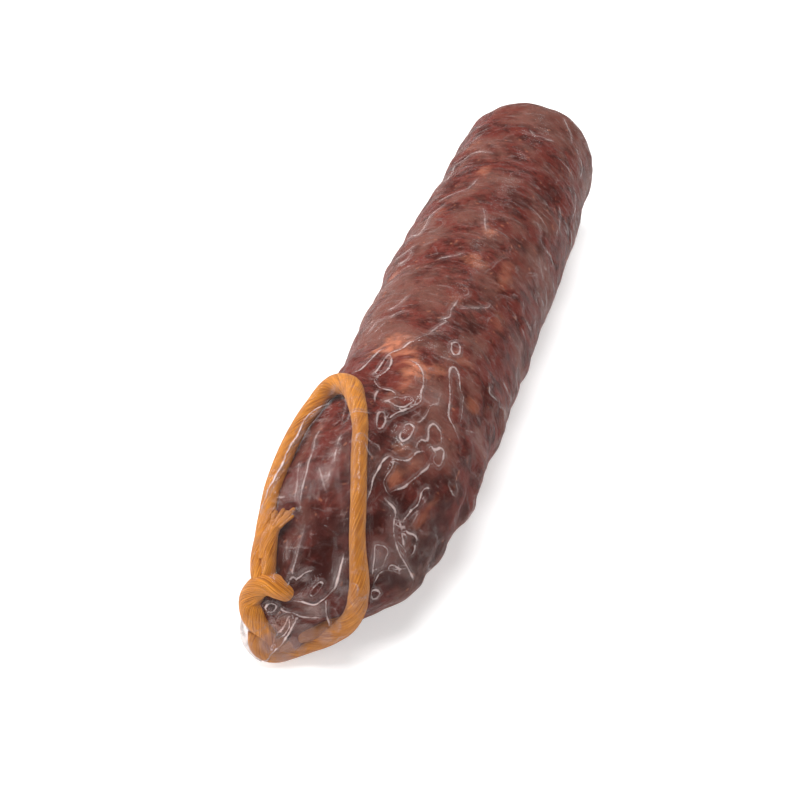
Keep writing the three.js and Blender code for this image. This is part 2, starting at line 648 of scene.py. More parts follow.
@dataclass(frozen=True)
class CasingFinish(Finish):
    """Mottled red-brown meat and fat behind a dry casing.

    Attributes:
        lean: The colour of lean meat.
        dark: The colour of the darkest meat, also used for painted shade beside the twine.
        brown: The colour of the dried surface.
        fat: The colour of fat near the casing.
        vein: The colour of the pale streaks in the casing.
        broad: The grain of dried areas.
        middle: The grain of the minced meat.
        fine: The grain of the casing.
        hoops: The grain drawn out round the stick.
        pleats: The grain drawn out along the pulled tail.
        spots: The grain of small fat.
        pulled: Where the tail is pulled, from Y.
        meat: From the middle grain, how lean the meat is.
        dried: From the broad grain, how dried it is.
        powdered: From the fine grain, how dried it is.
        fat_edge: From the hoops, how full the fat's patches are.
        furrows: From the hoops, how dark they are.
        veins: From the hoops, how pale they are.
        specks: From the spots, how fat they are.
        tail_share: How far the casing darkens towards the tail.
        brown_share: How far the dried patches turn brown.
        dark_share: How far the dark patches turn dark.
        hoop_height: How high the hoops stand, as a share of the middle grain.
        depth: The height of the surface's relief.
        roughness: From the fine grain, the surface's roughness.
        shine: Its specular level.
        softness: How much light goes under the surface.
        softness_radius: How far that goes, for red, green and blue.
    """

    name: str = "cured_casing"
    lean: Colour = linear(108, 46, 39)
    dark: Colour = linear(50, 16, 12)
    brown: Colour = linear(124, 84, 74)
    fat: Colour = linear(196, 124, 95)
    vein: Colour = linear(138, 108, 103)
    broad: Grain = Grain(24 * MM, detail=4, distortion=0.5)
    middle: Grain = Grain(5 * MM, 5, 0.65, 0.6, stretch=(0.8, 1.25, 0.8))
    fine: Grain = Grain(1.2 * MM, detail=3, roughness=0.7)
    hoops: Grain = Grain(2.2 * MM, 4, 0.65, 0.5, stretch=(0.6, 1.3, 0.6))
    pleats: Grain = Grain(2.4 * MM, 4, 0.6, 0.4, stretch=(1.3, 0.3, 1.3))
    spots: Grain = Grain(2.0 * MM, detail=1)
    pulled: Ease = Ease(-84 * MM, -62 * MM, 1.0, 0.0)
    meat: Ease = Ease(0.38, 0.58, 0.25, 1.0)
    dried: Ease = Ease(0.46, 0.62, 0.0, 0.7)
    powdered: Ease = Ease(0.5, 0.72, 0.0, 0.4)
    fat_edge: Ease = Ease(0.3, 0.6, 0.5, 1.0)
    furrows: Ease = Ease(0.32, 0.46, 0.3, 0.0)
    veins: Ease = Ease(0.56, 0.72, 0.0, 0.4)
    specks: Ease = Ease(0.68, 0.78, 0.0, 0.3)
    tail_share: float = 0.34
    brown_share: float = 0.85
    dark_share: float = 0.9
    hoop_height: float = 0.5
    depth: float = 0.6 * MM
    roughness: Ease = Ease(0.3, 0.7, 0.35, 0.55)
    shine: float = 0.05
    softness: float = 0.08
    softness_radius: Triple = (2.0 * MM, 0.7 * MM, 0.5 * MM)

    def shader(self, graph: Graph) -> Socket:
        """Builds the shader.

        Args:
            graph: The node tree's graph.

        Returns:
            The shader's output.
        """
        place = graph.place()
        broad, middle, fine, hoops, pleats, spots = (
            graph.noise(place, grain)
            for grain in (self.broad, self.middle, self.fine, self.hoops, self.pleats, self.spots)
        )
        pulled = graph.eased(graph.split(place)["Y"], self.pulled)
        hoops = graph.plus(hoops, graph.times(pulled, graph.math("SUBTRACT", pleats, hoops)))
        colour = graph.blend(graph.eased(middle, self.meat), self.dark, self.lean)
        fatty = graph.times(graph.attribute(Tone.FAT.value), graph.eased(hoops, self.fat_edge))
        layers = (
            (graph.eased(broad, self.dried), self.brown),
            (graph.eased(fine, self.powdered), self.brown),
            (graph.times(graph.attribute(Tone.BROWN.value), self.brown_share), self.brown),
            (graph.times(graph.attribute(Tone.DARK.value), self.dark_share), self.dark),
            (graph.times(pulled, self.tail_share), self.dark),
            (fatty, self.fat),
            (graph.eased(hoops, self.furrows), self.dark),
            (graph.eased(hoops, self.veins), self.vein),
            (graph.eased(spots, self.specks), self.fat),
        )
        for share, tone in layers:
            colour = graph.blend(share, colour, tone)
        height = graph.plus(middle, graph.times(hoops, self.hoop_height))
        return graph.principled(
            Base_Color=colour,
            Roughness=graph.eased(fine, self.roughness),
            Specular_IOR_Level=self.shine,
            Subsurface_Weight=self.softness,
            Subsurface_Radius=self.softness_radius,
            Subsurface_Scale=1.0,
            Normal=graph.bump(height, self.depth),
        )


@dataclass(frozen=True)
class TwineFinish(Finish):
    """Dyed fibres laid up in a soft twine, painted lighter on their raised tops and darker between them.

    Attributes:
        bright: The colour of the fibres in painted light.
        deep: The painted shade between the fibres, and the deeper tone of the uneven dye.
        pale: The colour of the palest fibre tops, partly wear and partly painted highlight.
        stain_and_shade: The colour where the casing's fat has soaked in, also used as painted shade on the
            right strand and under the tail.
        turn_length: How far one turn of the fibres goes, in the UV's metres along for one turn around.
        cross_turn_length: The same for the fibres that cross them.
        laid_counts: The fibres in a metre along, and around the twine.
        crossed_counts: The same for the fibres that cross them.
        fibre: The grain of the fibres, in such counts.
        uneven: The grain of the dye.
        lit: From the laid fibres, how far they take the painted light.
        wear_and_highlight: From the laid fibres, how pale they are, partly as painted highlight.
        nicks: From the crossing fibres, how deep the painted shade between them is.
        dye: From the uneven grain, how deep it is.
        cross_height: How high the crossing fibres stand, as a share of the laid ones.
        depth: The height of the surface's relief.
        roughness: Its roughness.
        shine: Its specular level.
        fuzz: Its sheen.
    """

    name: str = "dyed_twine"
    bright: Colour = linear(230, 148, 42)
    deep: Colour = linear(152, 80, 16)
    pale: Colour = linear(248, 196, 110)
    stain_and_shade: Colour = linear(122, 66, 32)
    turn_length: float = -33 * MM
    cross_turn_length: float = 14.85 * MM
    laid_counts: tuple[float, float] = (150.0, 100.0)
    crossed_counts: tuple[float, float] = (200.0, 34.0)
    fibre: Grain = Grain(1.0, detail=4, roughness=0.6, distortion=0.25)
    uneven: Grain = Grain(5 * MM, detail=2)
    lit: Ease = Ease(0.36, 0.58)
    wear_and_highlight: Ease = Ease(0.56, 0.72, 0.0, 0.7)
    nicks: Ease = Ease(0.3, 0.42, 0.55, 0.0)
    dye: Ease = Ease(0.45, 0.75, 0.0, 0.3)
    cross_height: float = 0.4
    depth: float = 0.4 * MM
    roughness: float = 0.62
    shine: float = 0.15
    fuzz: float = 0.15

    def fibres(self, graph: Graph, turn_length: float, counts: tuple[float, float]) -> Socket:
        """Builds a noise that is drawn out into slanting fibres.

        Args:
            graph: The node tree's graph.
            turn_length: How far one turn of them goes, and negative for a left-hand turn.
            counts: The fibres in a metre along, and around the twine.

        Returns:
            The noise.
        """
        flat = graph.split(graph.add("ShaderNodeUVMap", uv_map=WRAP_MAP).outputs["UV"])
        turned = graph.plus(flat["Y"], graph.times(flat["X"], 1 / turn_length))
        along, around = graph.times(flat["X"], counts[0]), graph.times(turned, counts[1])
        skewed = graph.feed(graph.add("ShaderNodeCombineXYZ"), X=along, Y=around)
        return graph.noise(skewed.outputs["Vector"], self.fibre)

    def shader(self, graph: Graph) -> Socket:
        """Builds the shader.

        Args:
            graph: The node tree's graph.

        Returns:
            The shader's output.
        """
        laid = self.fibres(graph, self.turn_length, self.laid_counts)
        crossed = self.fibres(graph, self.cross_turn_length, self.crossed_counts)
        uneven = graph.noise(graph.place(), self.uneven)
        # Painted light and shade: the raised fibres take the bright colour and the pale highlight, and the
        # grooves between them take the deep one.
        colour = graph.blend(graph.eased(laid, self.lit), self.deep, self.bright)
        layers = (
            (graph.eased(laid, self.wear_and_highlight), self.pale),
            (graph.eased(crossed, self.nicks), self.deep),
            (graph.eased(uneven, self.dye), self.deep),
            (graph.attribute(STAIN_AND_SHADE), self.stain_and_shade),
        )
        for share, tone in layers:
            colour = graph.blend(share, colour, tone)
        height = graph.plus(laid, graph.times(crossed, self.cross_height))
        return graph.principled(
            Base_Color=colour,
            Roughness=self.roughness,
            Specular_IOR_Level=self.shine,
            Sheen_Weight=self.fuzz,
            Normal=graph.bump(height, self.depth),
        )


@dataclass(frozen=True)
class FilmFinish(Finish):
    """Clear glossy film that whitens where it is creased, with painted highlights on the creases and painted
    shade beside them, and looks milky where it stands off.

    Attributes:
        milk: The colour of the whitened film, and of the painted highlights on its creases.
        shadow: The colour of the painted shade beside a crease.
        skin: The colour where a fold of the bare casing lies behind it.
        tint: What the clear film lets through.
        shine: The most that it mirrors.
        gloss: The roughness of its shine.
        haze_roughness: The roughness where it is milky.
        index: How strongly it bends light.
        clear_haze: How milky the film is where it clings.
        veil_haze: How much milkier it is where it stands off.
        crease_haze: How milky its creases are, partly as painted highlight.
        shade_haze: How dark the painted shade is on the far side of a crease.
        skin_haze: How much a fold of the bare casing hides.
        crease_strength_grain: The grain of how strongly creases show.
        wear_and_highlight: From that grain, how strongly they show, with their painted highlights and shade.
        ripple_grain: The grain of the film's ripples.
        hoop_grain: The grain of its fine ridges round the stick.
        ridges: From the hoop grain, how milky the ridges are.
        white_line: How white a crease is, partly as painted highlight, from the millimetres to its middle.
        shade_near: How far its far side is painted with shade, from the millimetres there.
        shade_far: How that ends further on.
        heights: How high creases, ripples and hoops stand, as shares.
        depth: The height of the surface's relief.
    """

    name: str = "clear_film"
    milk: Colour = linear(214, 190, 186)
    shadow: Colour = linear(50, 26, 24)
    skin: Colour = linear(150, 84, 54)
    tint: Colour = (0.97, 0.955, 0.95)
    shine: float = 0.009
    gloss: float = 0.12
    haze_roughness: float = 0.35
    index: float = 1.45
    clear_haze: float = 0.006
    veil_haze: float = 0.075
    crease_haze: float = 0.62
    shade_haze: float = 0.4
    skin_haze: float = 0.62
    crease_strength_grain: Grain = Grain(4 * MM, detail=5, roughness=0.65)
    wear_and_highlight: Ease = Ease(0.36, 0.62, 0.4, 1.2)
    ripple_grain: Grain = Grain(3.2 * MM, detail=2, roughness=0.5, distortion=0.8)
    hoop_grain: Grain = Grain(2.4 * MM, 3, 0.6, 0.6, stretch=(0.4, 1.7, 0.4))
    ridges: Ease = Ease(0.57, 0.7, 0.0, 0.11)
    white_line: Ease = Ease(0.08, 0.45, 1.0, 0.0)
    shade_near: Ease = Ease(0.35, 0.7)
    shade_far: Ease = Ease(0.8, 1.6, 1.0, 0.0)
    heights: Triple = (0.5, 0.5, 0.4)
    depth: float = 0.35 * MM

    def line(self, graph: Graph, kind: Line, wear_and_highlight: Socket) -> tuple[Socket, Socket]:
        """Draws one kind of crease.

        Args:
            graph: The node tree's graph.
            kind: The kind of crease.
            wear_and_highlight: How strongly creases show here.

        Returns:
            How far the film is whitened, partly as a painted highlight, and how far it is painted with shade
            on the crease's far side.
        """
        side = graph.attribute(kind.side)
        near = graph.times(graph.attribute(kind.near), wear_and_highlight)
        gap = graph.math("DIVIDE", graph.math("ABSOLUTE", side), wear_and_highlight)
        shade = graph.times(graph.eased(side, self.shade_near), graph.eased(side, self.shade_far))
        return graph.times(graph.eased(gap, self.white_line), near), graph.times(shade, near)

    def mixed(self, graph: Graph, share: object, first: Socket, second: Socket) -> Socket:
        """Mixes two shaders.

        Args:
            graph: The node tree's graph.
            share: The share of the second.
            first: The first.
            second: The second.

        Returns:
            The mix.
        """
        made = graph.add("ShaderNodeMixShader")
        for source, socket in zip((share, first, second), made.inputs):
            graph.join(source, socket)
        return made.outputs["Shader"]

    def shader(self, graph: Graph) -> Socket:
        """Builds the shader.

        Args:
            graph: The node tree's graph.

        Returns:
            The shader's output.
        """
        place = graph.place()
        wear_and_highlight = graph.eased(graph.noise(place, self.crease_strength_grain), self.wear_and_highlight)
        white, shade = self.line(graph, Line.FOLD, wear_and_highlight)
        for kind in (Line.RING, Line.HOOP):
            more_white, more_shade = self.line(graph, kind, wear_and_highlight)
            white = graph.math("MAXIMUM", white, more_white)
            shade = graph.math("MAXIMUM", shade, more_shade)
        ripples = graph.noise(place, self.ripple_grain)
        hoops = graph.noise(place, self.hoop_grain)
        skin = graph.attribute(SKIN)
        haze = graph.plus(
            graph.math("MULTIPLY_ADD", graph.attribute(VEIL), self.veil_haze, self.clear_haze),
            graph.eased(hoops, self.ridges),
            graph.times(white, self.crease_haze),
            graph.times(shade, self.shade_haze),
            graph.times(skin, self.skin_haze),
        )
        relief = [graph.times(source, size) for source, size in zip((white, ripples, hoops), self.heights)]
        normal = graph.bump(graph.plus(*relief), self.depth)
        bare = graph.times(skin, graph.math("SUBTRACT", 1.0, white))
        # Beside a crease the coat turns to the painted shade colour, over the milk or the bare casing.
        coat = graph.blend(shade, graph.blend(bare, self.milk, self.skin), self.shadow)
        milk = graph.principled(Base_Color=coat, Roughness=self.haze_roughness, Normal=normal)
        clear = graph.feed(graph.add("ShaderNodeBsdfTransparent"), Color=(*self.tint, 1.0))
        polish = graph.feed(
            graph.add("ShaderNodeBsdfGlossy"), Color=(1.0, 1.0, 1.0, 1.0), Roughness=self.gloss, Normal=normal
        )
        mirror = graph.feed(graph.add("ShaderNodeFresnel"), IOR=self.index, Normal=normal)
        shine = graph.math("MINIMUM", mirror.outputs["Fac"], self.shine)
        body = self.mixed(graph, haze, clear.outputs["BSDF"], milk)
        return self.mixed(graph, shine, body, polish.outputs["BSDF"])


@dataclass(frozen=True)
class FloorFinish(Finish):
    """A plain white table.

    Attributes:
        white: Its colour.
        roughness: Its roughness.
        glow: How much it shines by itself, which keeps it as white as in the photograph.
    """

    name: str = "white_table"
    white: Colour = (0.8, 0.8, 0.8)
    roughness: float = 0.7
    glow: float = 0.52

    def shader(self, graph: Graph) -> Socket:
        """Builds the shader.

        Args:
            graph: The node tree's graph.

        Returns:
            The shader's output.
        """
        return graph.principled(
            Base_Color=(*self.white, 1.0),
            Roughness=self.roughness,
            Emission_Color=(1.0, 1.0, 1.0, 1.0),
            Emission_Strength=self.glow,
        )


@dataclass(frozen=True)
class Patch:
    """A patch of one tone on the sausage.

    Attributes:
        y: Its middle along the stick, in millimetres.
        degrees: Its middle round the stick.
        length: Half its length along, in millimetres.
        width: Half its width around, in millimetres.
        strength: How full its colour is.
        tone: Its tone.
    """

    y: float
    degrees: float
    length: float
    width: float
    strength: float
    tone: Tone

    def share(self, stick: Stick, y: float, angle: float) -> float:
        """Reads the patch, whose edges are ragged.

        Args:
            stick: The stick.
            y: The place along the stick.
            angle: The angle round it.

        Returns:
            How much of it shows.
        """
        ahead = (y / MM - self.y) / self.length
        turn = (angle - math.radians(self.degrees) + math.pi) % (2 * math.pi) - math.pi
        aside = turn * stick.radius_at(y) / MM / self.width
        spot = Vector((y / MM / 5, angle * 5, self.y))
        ragged = sum(size * noise.noise(spot * scale) for scale, size in RAGGED)
        return self.strength * smooth_share(1.1 - math.hypot(ahead, aside) + ragged, 0.0, 1.0)


@dataclass(frozen=True)
class Swell:
    """A place where the sausage bulges, or where it is pressed in.

    Attributes:
        y: Its middle along the stick, in millimetres.
        degrees: Its middle round the stick.
        length: How far it reaches along, in millimetres.
        spread: How far it reaches round, in degrees.
        height: How far it stands out, in millimetres.
    """

    y: float
    degrees: float
    length: float
    spread: float
    height: float

    def at(self, y: float, angle: float) -> float:
        """Reads the swell.

        Args:
            y: The place along the stick.
            angle: The angle round it.

        Returns:
            Its height, in metres.
        """
        ahead = (y / MM - self.y) / self.length
        aside = ((math.degrees(angle) - self.degrees + 180) % 360 - 180) / self.spread
        return self.height * MM * math.exp(-(ahead ** 2) - aside ** 2)


@dataclass
class Sausage:
    """The sausage inside the film.

    Attributes:
        stick: Its form.
        patches: The patches of fat and of dark and dried meat, some dark ones on the tail being painted shade
            beside the twine.
        swells: Where it bulges or is pressed in.
        rows: The faces along it.
        columns: The faces around it.
        inset: How far it lies under the CAD surface, which is the film's.
        flank_gap: How much further in the lower flanks are, where the film hangs straight.
        flank_band: The sines between which the lower flanks fade in.
        under_band: The sines between which they fade out underneath.
        lump_size: The size of the coarse meat under the casing.
        lump_offset: How far the lumps stay under their middle, as a share of their height.
        lump_height: How far it shows on the body.
        tail_lump_height: How far it shows towards the tail, where the casing is pulled together.
        belly_power: The higher, the narrower the part of the tail that sags to the table.
    """

    stick: Stick
    patches: tuple[Patch, ...] = ()
    swells: tuple[Swell, ...] = (
        Swell(y=30, degrees=170, length=34, spread=60, height=1.7),
        Swell(y=-90, degrees=134, length=9, spread=18, height=1.8),
        Swell(y=-85, degrees=-12, length=8, spread=26, height=3.5),
        Swell(y=108, degrees=-5, length=24, spread=50, height=-2.0),
        Swell(y=119, degrees=140, length=8, spread=50, height=2.2),
    )
    rows: int = 300
    columns: int = 180
    inset: float = 0.6 * MM
    flank_gap: float = 0.35 * MM
    flank_band: tuple[float, float] = (0.0, 0.45)
    under_band: tuple[float, float] = (-0.98, -0.8)
    lump_size: float = 8.0 * MM
    lump_offset: float = 0.25
    lump_height: float = 0.5 * MM
    tail_lump_height: float = 1.3 * MM
    belly_power: float = 1.4

    def flank(self, angle: float) -> float:
        """Returns 1 low on either flank and 0 elsewhere."""
        below = math.sin(angle)
        return smooth_share(-below, *self.flank_band) * smooth_share(below, *self.under_band)

    def lift(self, y: float, angle: float) -> float:
        """Measures the casing.

        Args:
            y: The place along the stick.
            angle: The angle round it.

        Returns:
            Its height over the CAD surface, which is mostly negative.
        """
        share = self.stick.radius_at(y) / self.stick.radius
        spot = self.stick.point(y, angle) / self.lump_size
        lumps = noise.noise(spot) + 0.4 * noise.noise(spot * 2.3) - self.lump_offset
        towards_tail = smooth_share(-y, 5 * MM, 50 * MM)
        height = self.lump_height + (self.tail_lump_height - self.lump_height) * towards_tail
        hang = self.stick.centre(y).z - self.stick.radius_at(y)
        belly = max(0.0, hang) * max(0.0, -math.sin(angle)) ** self.belly_power
        bulge = sum(swell.at(y, angle) for swell in self.swells)
        return (lumps * height - self.flank_gap * self.flank(angle)) * share - self.inset + belly + bulge

    def build(self) -> Piece:
        """Builds the sausage.

        Returns:
            Its piece.
        """
        stations = self.stick.stations(self.rows)
        first = self.stick.centre(stations[0] - self.inset)
        last = self.stick.centre(stations[-1])

        def turn(around: float) -> float:
            """Returns the angle at a share around, starting underneath."""
            return 2 * math.pi * around - math.pi / 2

        def place(along: float, around: float) -> Vector:
            """Places a point of the casing.

            Args:
                along: The share along.
                around: The share around.

            Returns:
                The point.
            """
            row = round(along * self.rows)
            if row == 0:
                return first
            if row == self.rows:
                return last
            y = stations[row]
            point = self.stick.point(y, turn(around), self.lift(y, turn(around)))
            point.z = max(point.z, self.inset)
            return point

        def toned(tone: Tone) -> Mark:
            """Picks out the patches of one tone.

            Args:
                tone: The tone.

            Returns:
                What reads it from the shares along and around.
            """
            chosen = [patch for patch in self.patches if patch.tone is tone]

            def read(along: float, around: float) -> float:
                """Returns the tone's strength at a point."""
                y = stations[round(along * self.rows)]
                return max((patch.share(self.stick, y, turn(around)) for patch in chosen), default=0.0)

            return read

        marks = {tone.value: toned(tone) for tone in Tone}
        piece = Piece("sausage", wrapped_grid(self.rows, self.columns, place, marks))
        piece.wear(CasingFinish(), Slot.CASING)
        piece.settle(Node.SAUSAGE)
        return piece


@dataclass
class Route:
    """A smooth curve through chosen points.

    Attributes:
        points: The points it goes through.
        steps: How many places it is kept at.
        fine_steps: How many are worked out from one point to the next.
    """

    points: list[Vector]
    steps: int = 240
    fine_steps: int = 20
    places: list[Vector] = field(init=False)

    def __post_init__(self) -> None:
        """Walks the curve and keeps evenly spread places on it."""
        fine = []
        padded = [self.points[0] * 2 - self.points[1], *self.points, self.points[-1] * 2 - self.points[-2]]
        for index in range(1, len(padded) - 2):
            for step in range(self.fine_steps):
                fine.append(self.between(padded[index - 1 : index + 3], step / self.fine_steps))
        fine.append(self.points[-1].copy())
        cloud = np.array(fine)
        walked = np.concatenate([[0.0], np.cumsum(np.linalg.norm(np.diff(cloud, axis=0), axis=1))])
        even = np.linspace(0, walked[-1], self.steps + 1)
        self.places = [Vector(row) for row in zip(*(np.interp(even, walked, cloud[:, k]) for k in range(3)))]
        self.length = float(walked[-1])

    @staticmethod
    def between(four: list[Vector], share: float) -> Vector:
        """Rounds the way between two points.

        Args:
            four: The two points, with the one before and the one after.
            share: The share of the way.

        Returns:
            The point there.
        """
        before, start, end, after = four
        return 0.5 * (
            2 * start
            + (end - before) * share
            + (2 * before - 5 * start + 4 * end - after) * share ** 2
            + (3 * start - before - 3 * end + after) * share ** 3
        )

    def frames(self) -> list[tuple[Vector, Vector, Vector]]:
        """Carries a frame along the curve without turning it.

        Returns:
            The place and the two directions across, for each step.
        """
        found = []
        across = None
        for index, spot in enumerate(self.places):
            ahead = self.places[min(index + 1, self.steps)] - self.places[max(index - 1, 0)]
            ahead.normalize()
            across = ahead.orthogonal() if across is None else across - ahead * across.dot(ahead)
            across.normalize()
            found.append((spot, across.copy(), ahead.cross(across)))
        return found


@dataclass
class Strand:
    """A length of laid-up twine.

    Attributes:
        name: The piece's name.
        route: Where it goes.
        radius: Its radius.
        swell: Gives a factor on the radius from the share along.
        stain_and_shade: Gives how stained it is from the share along, partly as painted shade.
        yarns: The yarns that show round it.
        yarn_depth: How deep the grooves between them are, as a share of the radius.
        yarn_rise: How high the yarns stand, as a factor on that.
        yarn_power: The lower, the rounder they are.
        wobble: How far its radius wanders, as a share.
        wobble_length: How far apart it does so.
        lay: The length of one turn.
        columns: The faces around it.
        table_gap: How far it stays over the table.
    """

    name: str
    route: Route
    radius: float = 2.6 * MM
    swell: Mark | None = None
    stain_and_shade: Mark | None = None
    yarns: int = 9
    yarn_depth: float = 0.008
    yarn_rise: float = 1.6
    yarn_power: float = 0.6
    wobble: float = 0.05
    wobble_length: float = 4 * MM
    lay: float = 33 * MM
    columns: int = 42
    table_gap: float = 0.4 * MM

    def build(self) -> Piece:
        """Builds the strand.

        Returns:
            Its piece.
        """
        frames = self.route.frames()
        turns = self.route.length / self.lay

        def place(along: float, around: float) -> Vector:
            """Places a point of the twine.

            Args:
                along: The share along.
                around: The share around.

            Returns:
                The point.
            """
            step = round(along * self.route.steps)
            spot, across, up = frames[step]
            if step in (0, self.route.steps):
                return spot
            angle = 2 * math.pi * around
            wave = abs(math.sin(self.yarns / 2 * (angle - 2 * math.pi * turns * along)))
            grain = Vector((along * self.route.length / self.wobble_length, around * 3, self.radius / MM))
            relief = self.yarn_depth * wave ** self.yarn_power * self.yarn_rise
            size = self.radius * (1 - self.yarn_depth + relief + self.wobble * noise.noise(grain))
            size *= self.swell(along, around) if self.swell else 1.0
            point = spot + across * (math.cos(angle) * size) + up * (math.sin(angle) * size)
            point.z = max(point.z, self.table_gap)
            return point

        marks = {STAIN_AND_SHADE: self.stain_and_shade} if self.stain_and_shade else None
        shape = wrapped_grid(self.route.steps, self.columns, place, marks, stretch=(self.route.length, 1.0))
        piece = Piece(self.name, shape)
        piece.wear(TwineFinish(), Slot.TWINE)
        piece.settle(Node.TWINE)
        return piece


@dataclass
class Twine:
    """The hanging loop, its knot and its frayed ends. The points repeat the CAD solid's.

    Attributes:
        stick: The stick it lies on.
        radius: Its radius.
        sink: How far it is pressed into the casing.
        knot_radius: The radius in the knot.
        turn_radius: The radius of the second turn under the tail.
        turn_stain: How stained the second turn is.
        end_radius: The radius of a cut end.
        prong_radius: The radius of a thick yarn of a cut end.
        fray_radius: The radius of a thin one.
        prongs: Where the thick yarns of the cut ends reach to, in millimetres along and degrees round.
        frays: The thin loose yarns there.
    """

    stick: Stick
    radius: float = 2.6 * MM
    sink: float = 0.7 * MM
    knot_radius: float = 2.9 * MM
    turn_radius: float = 2.2 * MM
    turn_stain: float = 0.65
    end_radius: float = 1.9 * MM
    prong_radius: float = 0.85 * MM
    fray_radius: float = 0.42 * MM
    prongs: tuple[tuple[float, float], ...] = ((-91.7, 125), (-91.0, 115), (-90.2, 105))
    frays: int = 7

    def on_casing(self, *spots: tuple[float, float], lift: float | None = None) -> list[Vector]:
        """Returns points on the casing, from millimetres along and degrees round.

        Args:
            *spots: The millimetres along the stick and the degrees round it.
            lift: The height over the casing, or None for the loop's own.

        Returns:
            The points.
        """
        height = self.radius - self.sink if lift is None else lift
        return [self.stick.point(y * MM, math.radians(turn), height) for y, turn in spots]

    @staticmethod
    def at(*spots: Triple) -> list[Vector]:
        """Returns points from coordinates in millimetres."""
        return [Vector(spot) * MM for spot in spots]

    def loop(self) -> Strand:
        """Lays the loop back over the tail and under it.

        Returns:
            The loop.
        """
        left_flank = self.on_casing((-105, 118), (-102, 124), (-98, 130), (-93, 134), (-86, 137), (-76, 142))
        bend = self.on_casing((-65, 144), (-57, 141), (-52.5, 134), (-52, 125), (-55, 113), (-60.5, 104))
        right_flank = self.on_casing(
            (-67, 94), (-75.2, 83), (-82.8, 69), (-88.8, 53), (-93.6, 30), (-95.6, 14)
        )
        start = self.at((-18, -106.5, 21))
        under = self.at(
            (5.4, -103.4, 19.8),
            (4.4, -104.1, 16.7),
            (2.6, -104.8, 13.8),
            (0.0, -105.5, 11.2),
            (-3.3, -106.1, 8.6),
            (-7.2, -106.9, 6.3),
            (-11.0, -108.1, 4.3),
            (-14.3, -109.5, 3.2),
            (-16.8, -110.7, 4.3),
            (-18.5, -110.9, 7.1),
            (-19.1, -109.4, 11.0),
        )
        route = Route(start + left_flank + bend + right_flank + under, steps=300)

        def swell(along: float, _around: float) -> float:
            """Thins the two long strands and fattens the bend between them.

            Args:
                along: The share along.
                _around: Not used.

            Returns:
                The factor on the radius.
            """
            bend = math.exp(-(((along - 0.40) / 0.07) ** 2))
            strained = smooth_share(along, 0.02, 0.1) * smooth_share(-along, -0.76, -0.66)
            side = 0.13 if along < 0.4 else 0.22
            return 1 + 0.12 * bend - side * strained * (1 - bend)

        def stain_and_shade(along: float, _around: float) -> float:
            """Returns how far the right strand and the strand under the tail are darkened, partly as a stain
            and partly as painted shade.
            """
            return 0.22 * smooth_share(along, 0.44, 0.52) + 0.14 * smooth_share(along, 0.78, 0.86)

        return Strand("twine_loop", route, self.radius, swell, stain_and_shade)

    def second_turn(self) -> Strand:
        """Lays the second turn of the twine under the tail, in front of the first.

        Returns:
            The turn.
        """
        spots = self.at(
            (2.2, -100.8, 16.4),
            (1.1, -102.2, 14.9),
            (-1.0, -103.7, 12.9),
            (-4.4, -105.8, 11.1),
            (-8.2, -107.4, 10.0),
            (-11.2, -109.2, 9.0),
            (-13.6, -110.8, 8.0),
        )

        def stain_and_shade(_along: float, _around: float) -> float:
            """Returns how stained it is, which is the same all along."""
            return self.turn_stain

        return Strand("twine_second_turn", Route(spots, steps=80), self.turn_radius, stain_and_shade=stain_and_shade)

    def knot(self) -> Strand:
        """Ties the knot's bight round the neck, with its ends in under the folds.

        Returns:
            The bight.
        """
        spots = self.at(
            (-10.5, -101, 19),
            (-11.6, -104.2, 21.8),
            (-13.8, -105.9, 24.2),
            (-17, -106, 24.6),
            (-19.8, -106.3, 22.4),
            (-21.2, -107, 18.8),
            (-20.4, -108.4, 16.0),
            (-18.8, -108.8, 13.2),
            (-17.4, -108.7, 10.8),
            (-16.0, -108.2, 8.3),
            (-14.2, -107.6, 6.0),
        )

        def swell(along: float, _around: float) -> float:
            """Returns the factor that fattens the lower half of the bight."""
            return 1 + 0.2 * math.exp(-(((along - 0.7) / 0.16) ** 2))

        return Strand("twine_knot", Route(spots, steps=90), self.knot_radius, swell)

    def cut_ends(self) -> list[Strand]:
        """Lays the two cut ends beside the loop.

        Returns:
            The ends.
        """
        first = self.at((-17, -105.8, 24))
        first += self.on_casing((-102.5, 108), (-100, 112), (-97.6, 114), (-95.4, 114))
        second = self.on_casing((-102, 114), (-99, 117), (-96.6, 118), (-95.2, 118))

        def taper(along: float, _around: float) -> float:
            """Returns the factor that narrows an end towards its frays."""
            return 1 - 0.35 * smooth_share(along, 0.6, 1.0)

        return [
            Strand("twine_end_a", Route(first, steps=60), self.end_radius, taper, columns=30),
            Strand("twine_end_b", Route(second, steps=40), self.end_radius, taper, columns=30),
        ]

    def fray_strands(self) -> list[Strand]:
        """Spreads the yarns of the cut ends.

        Returns:
            The yarns, the thick ones first.
        """
        def taper(along: float, _around: float) -> float:
            """Returns the factor that narrows a yarn towards its tip."""
            return 1 - 0.4 * smooth_share(along, 0.5, 1.0)

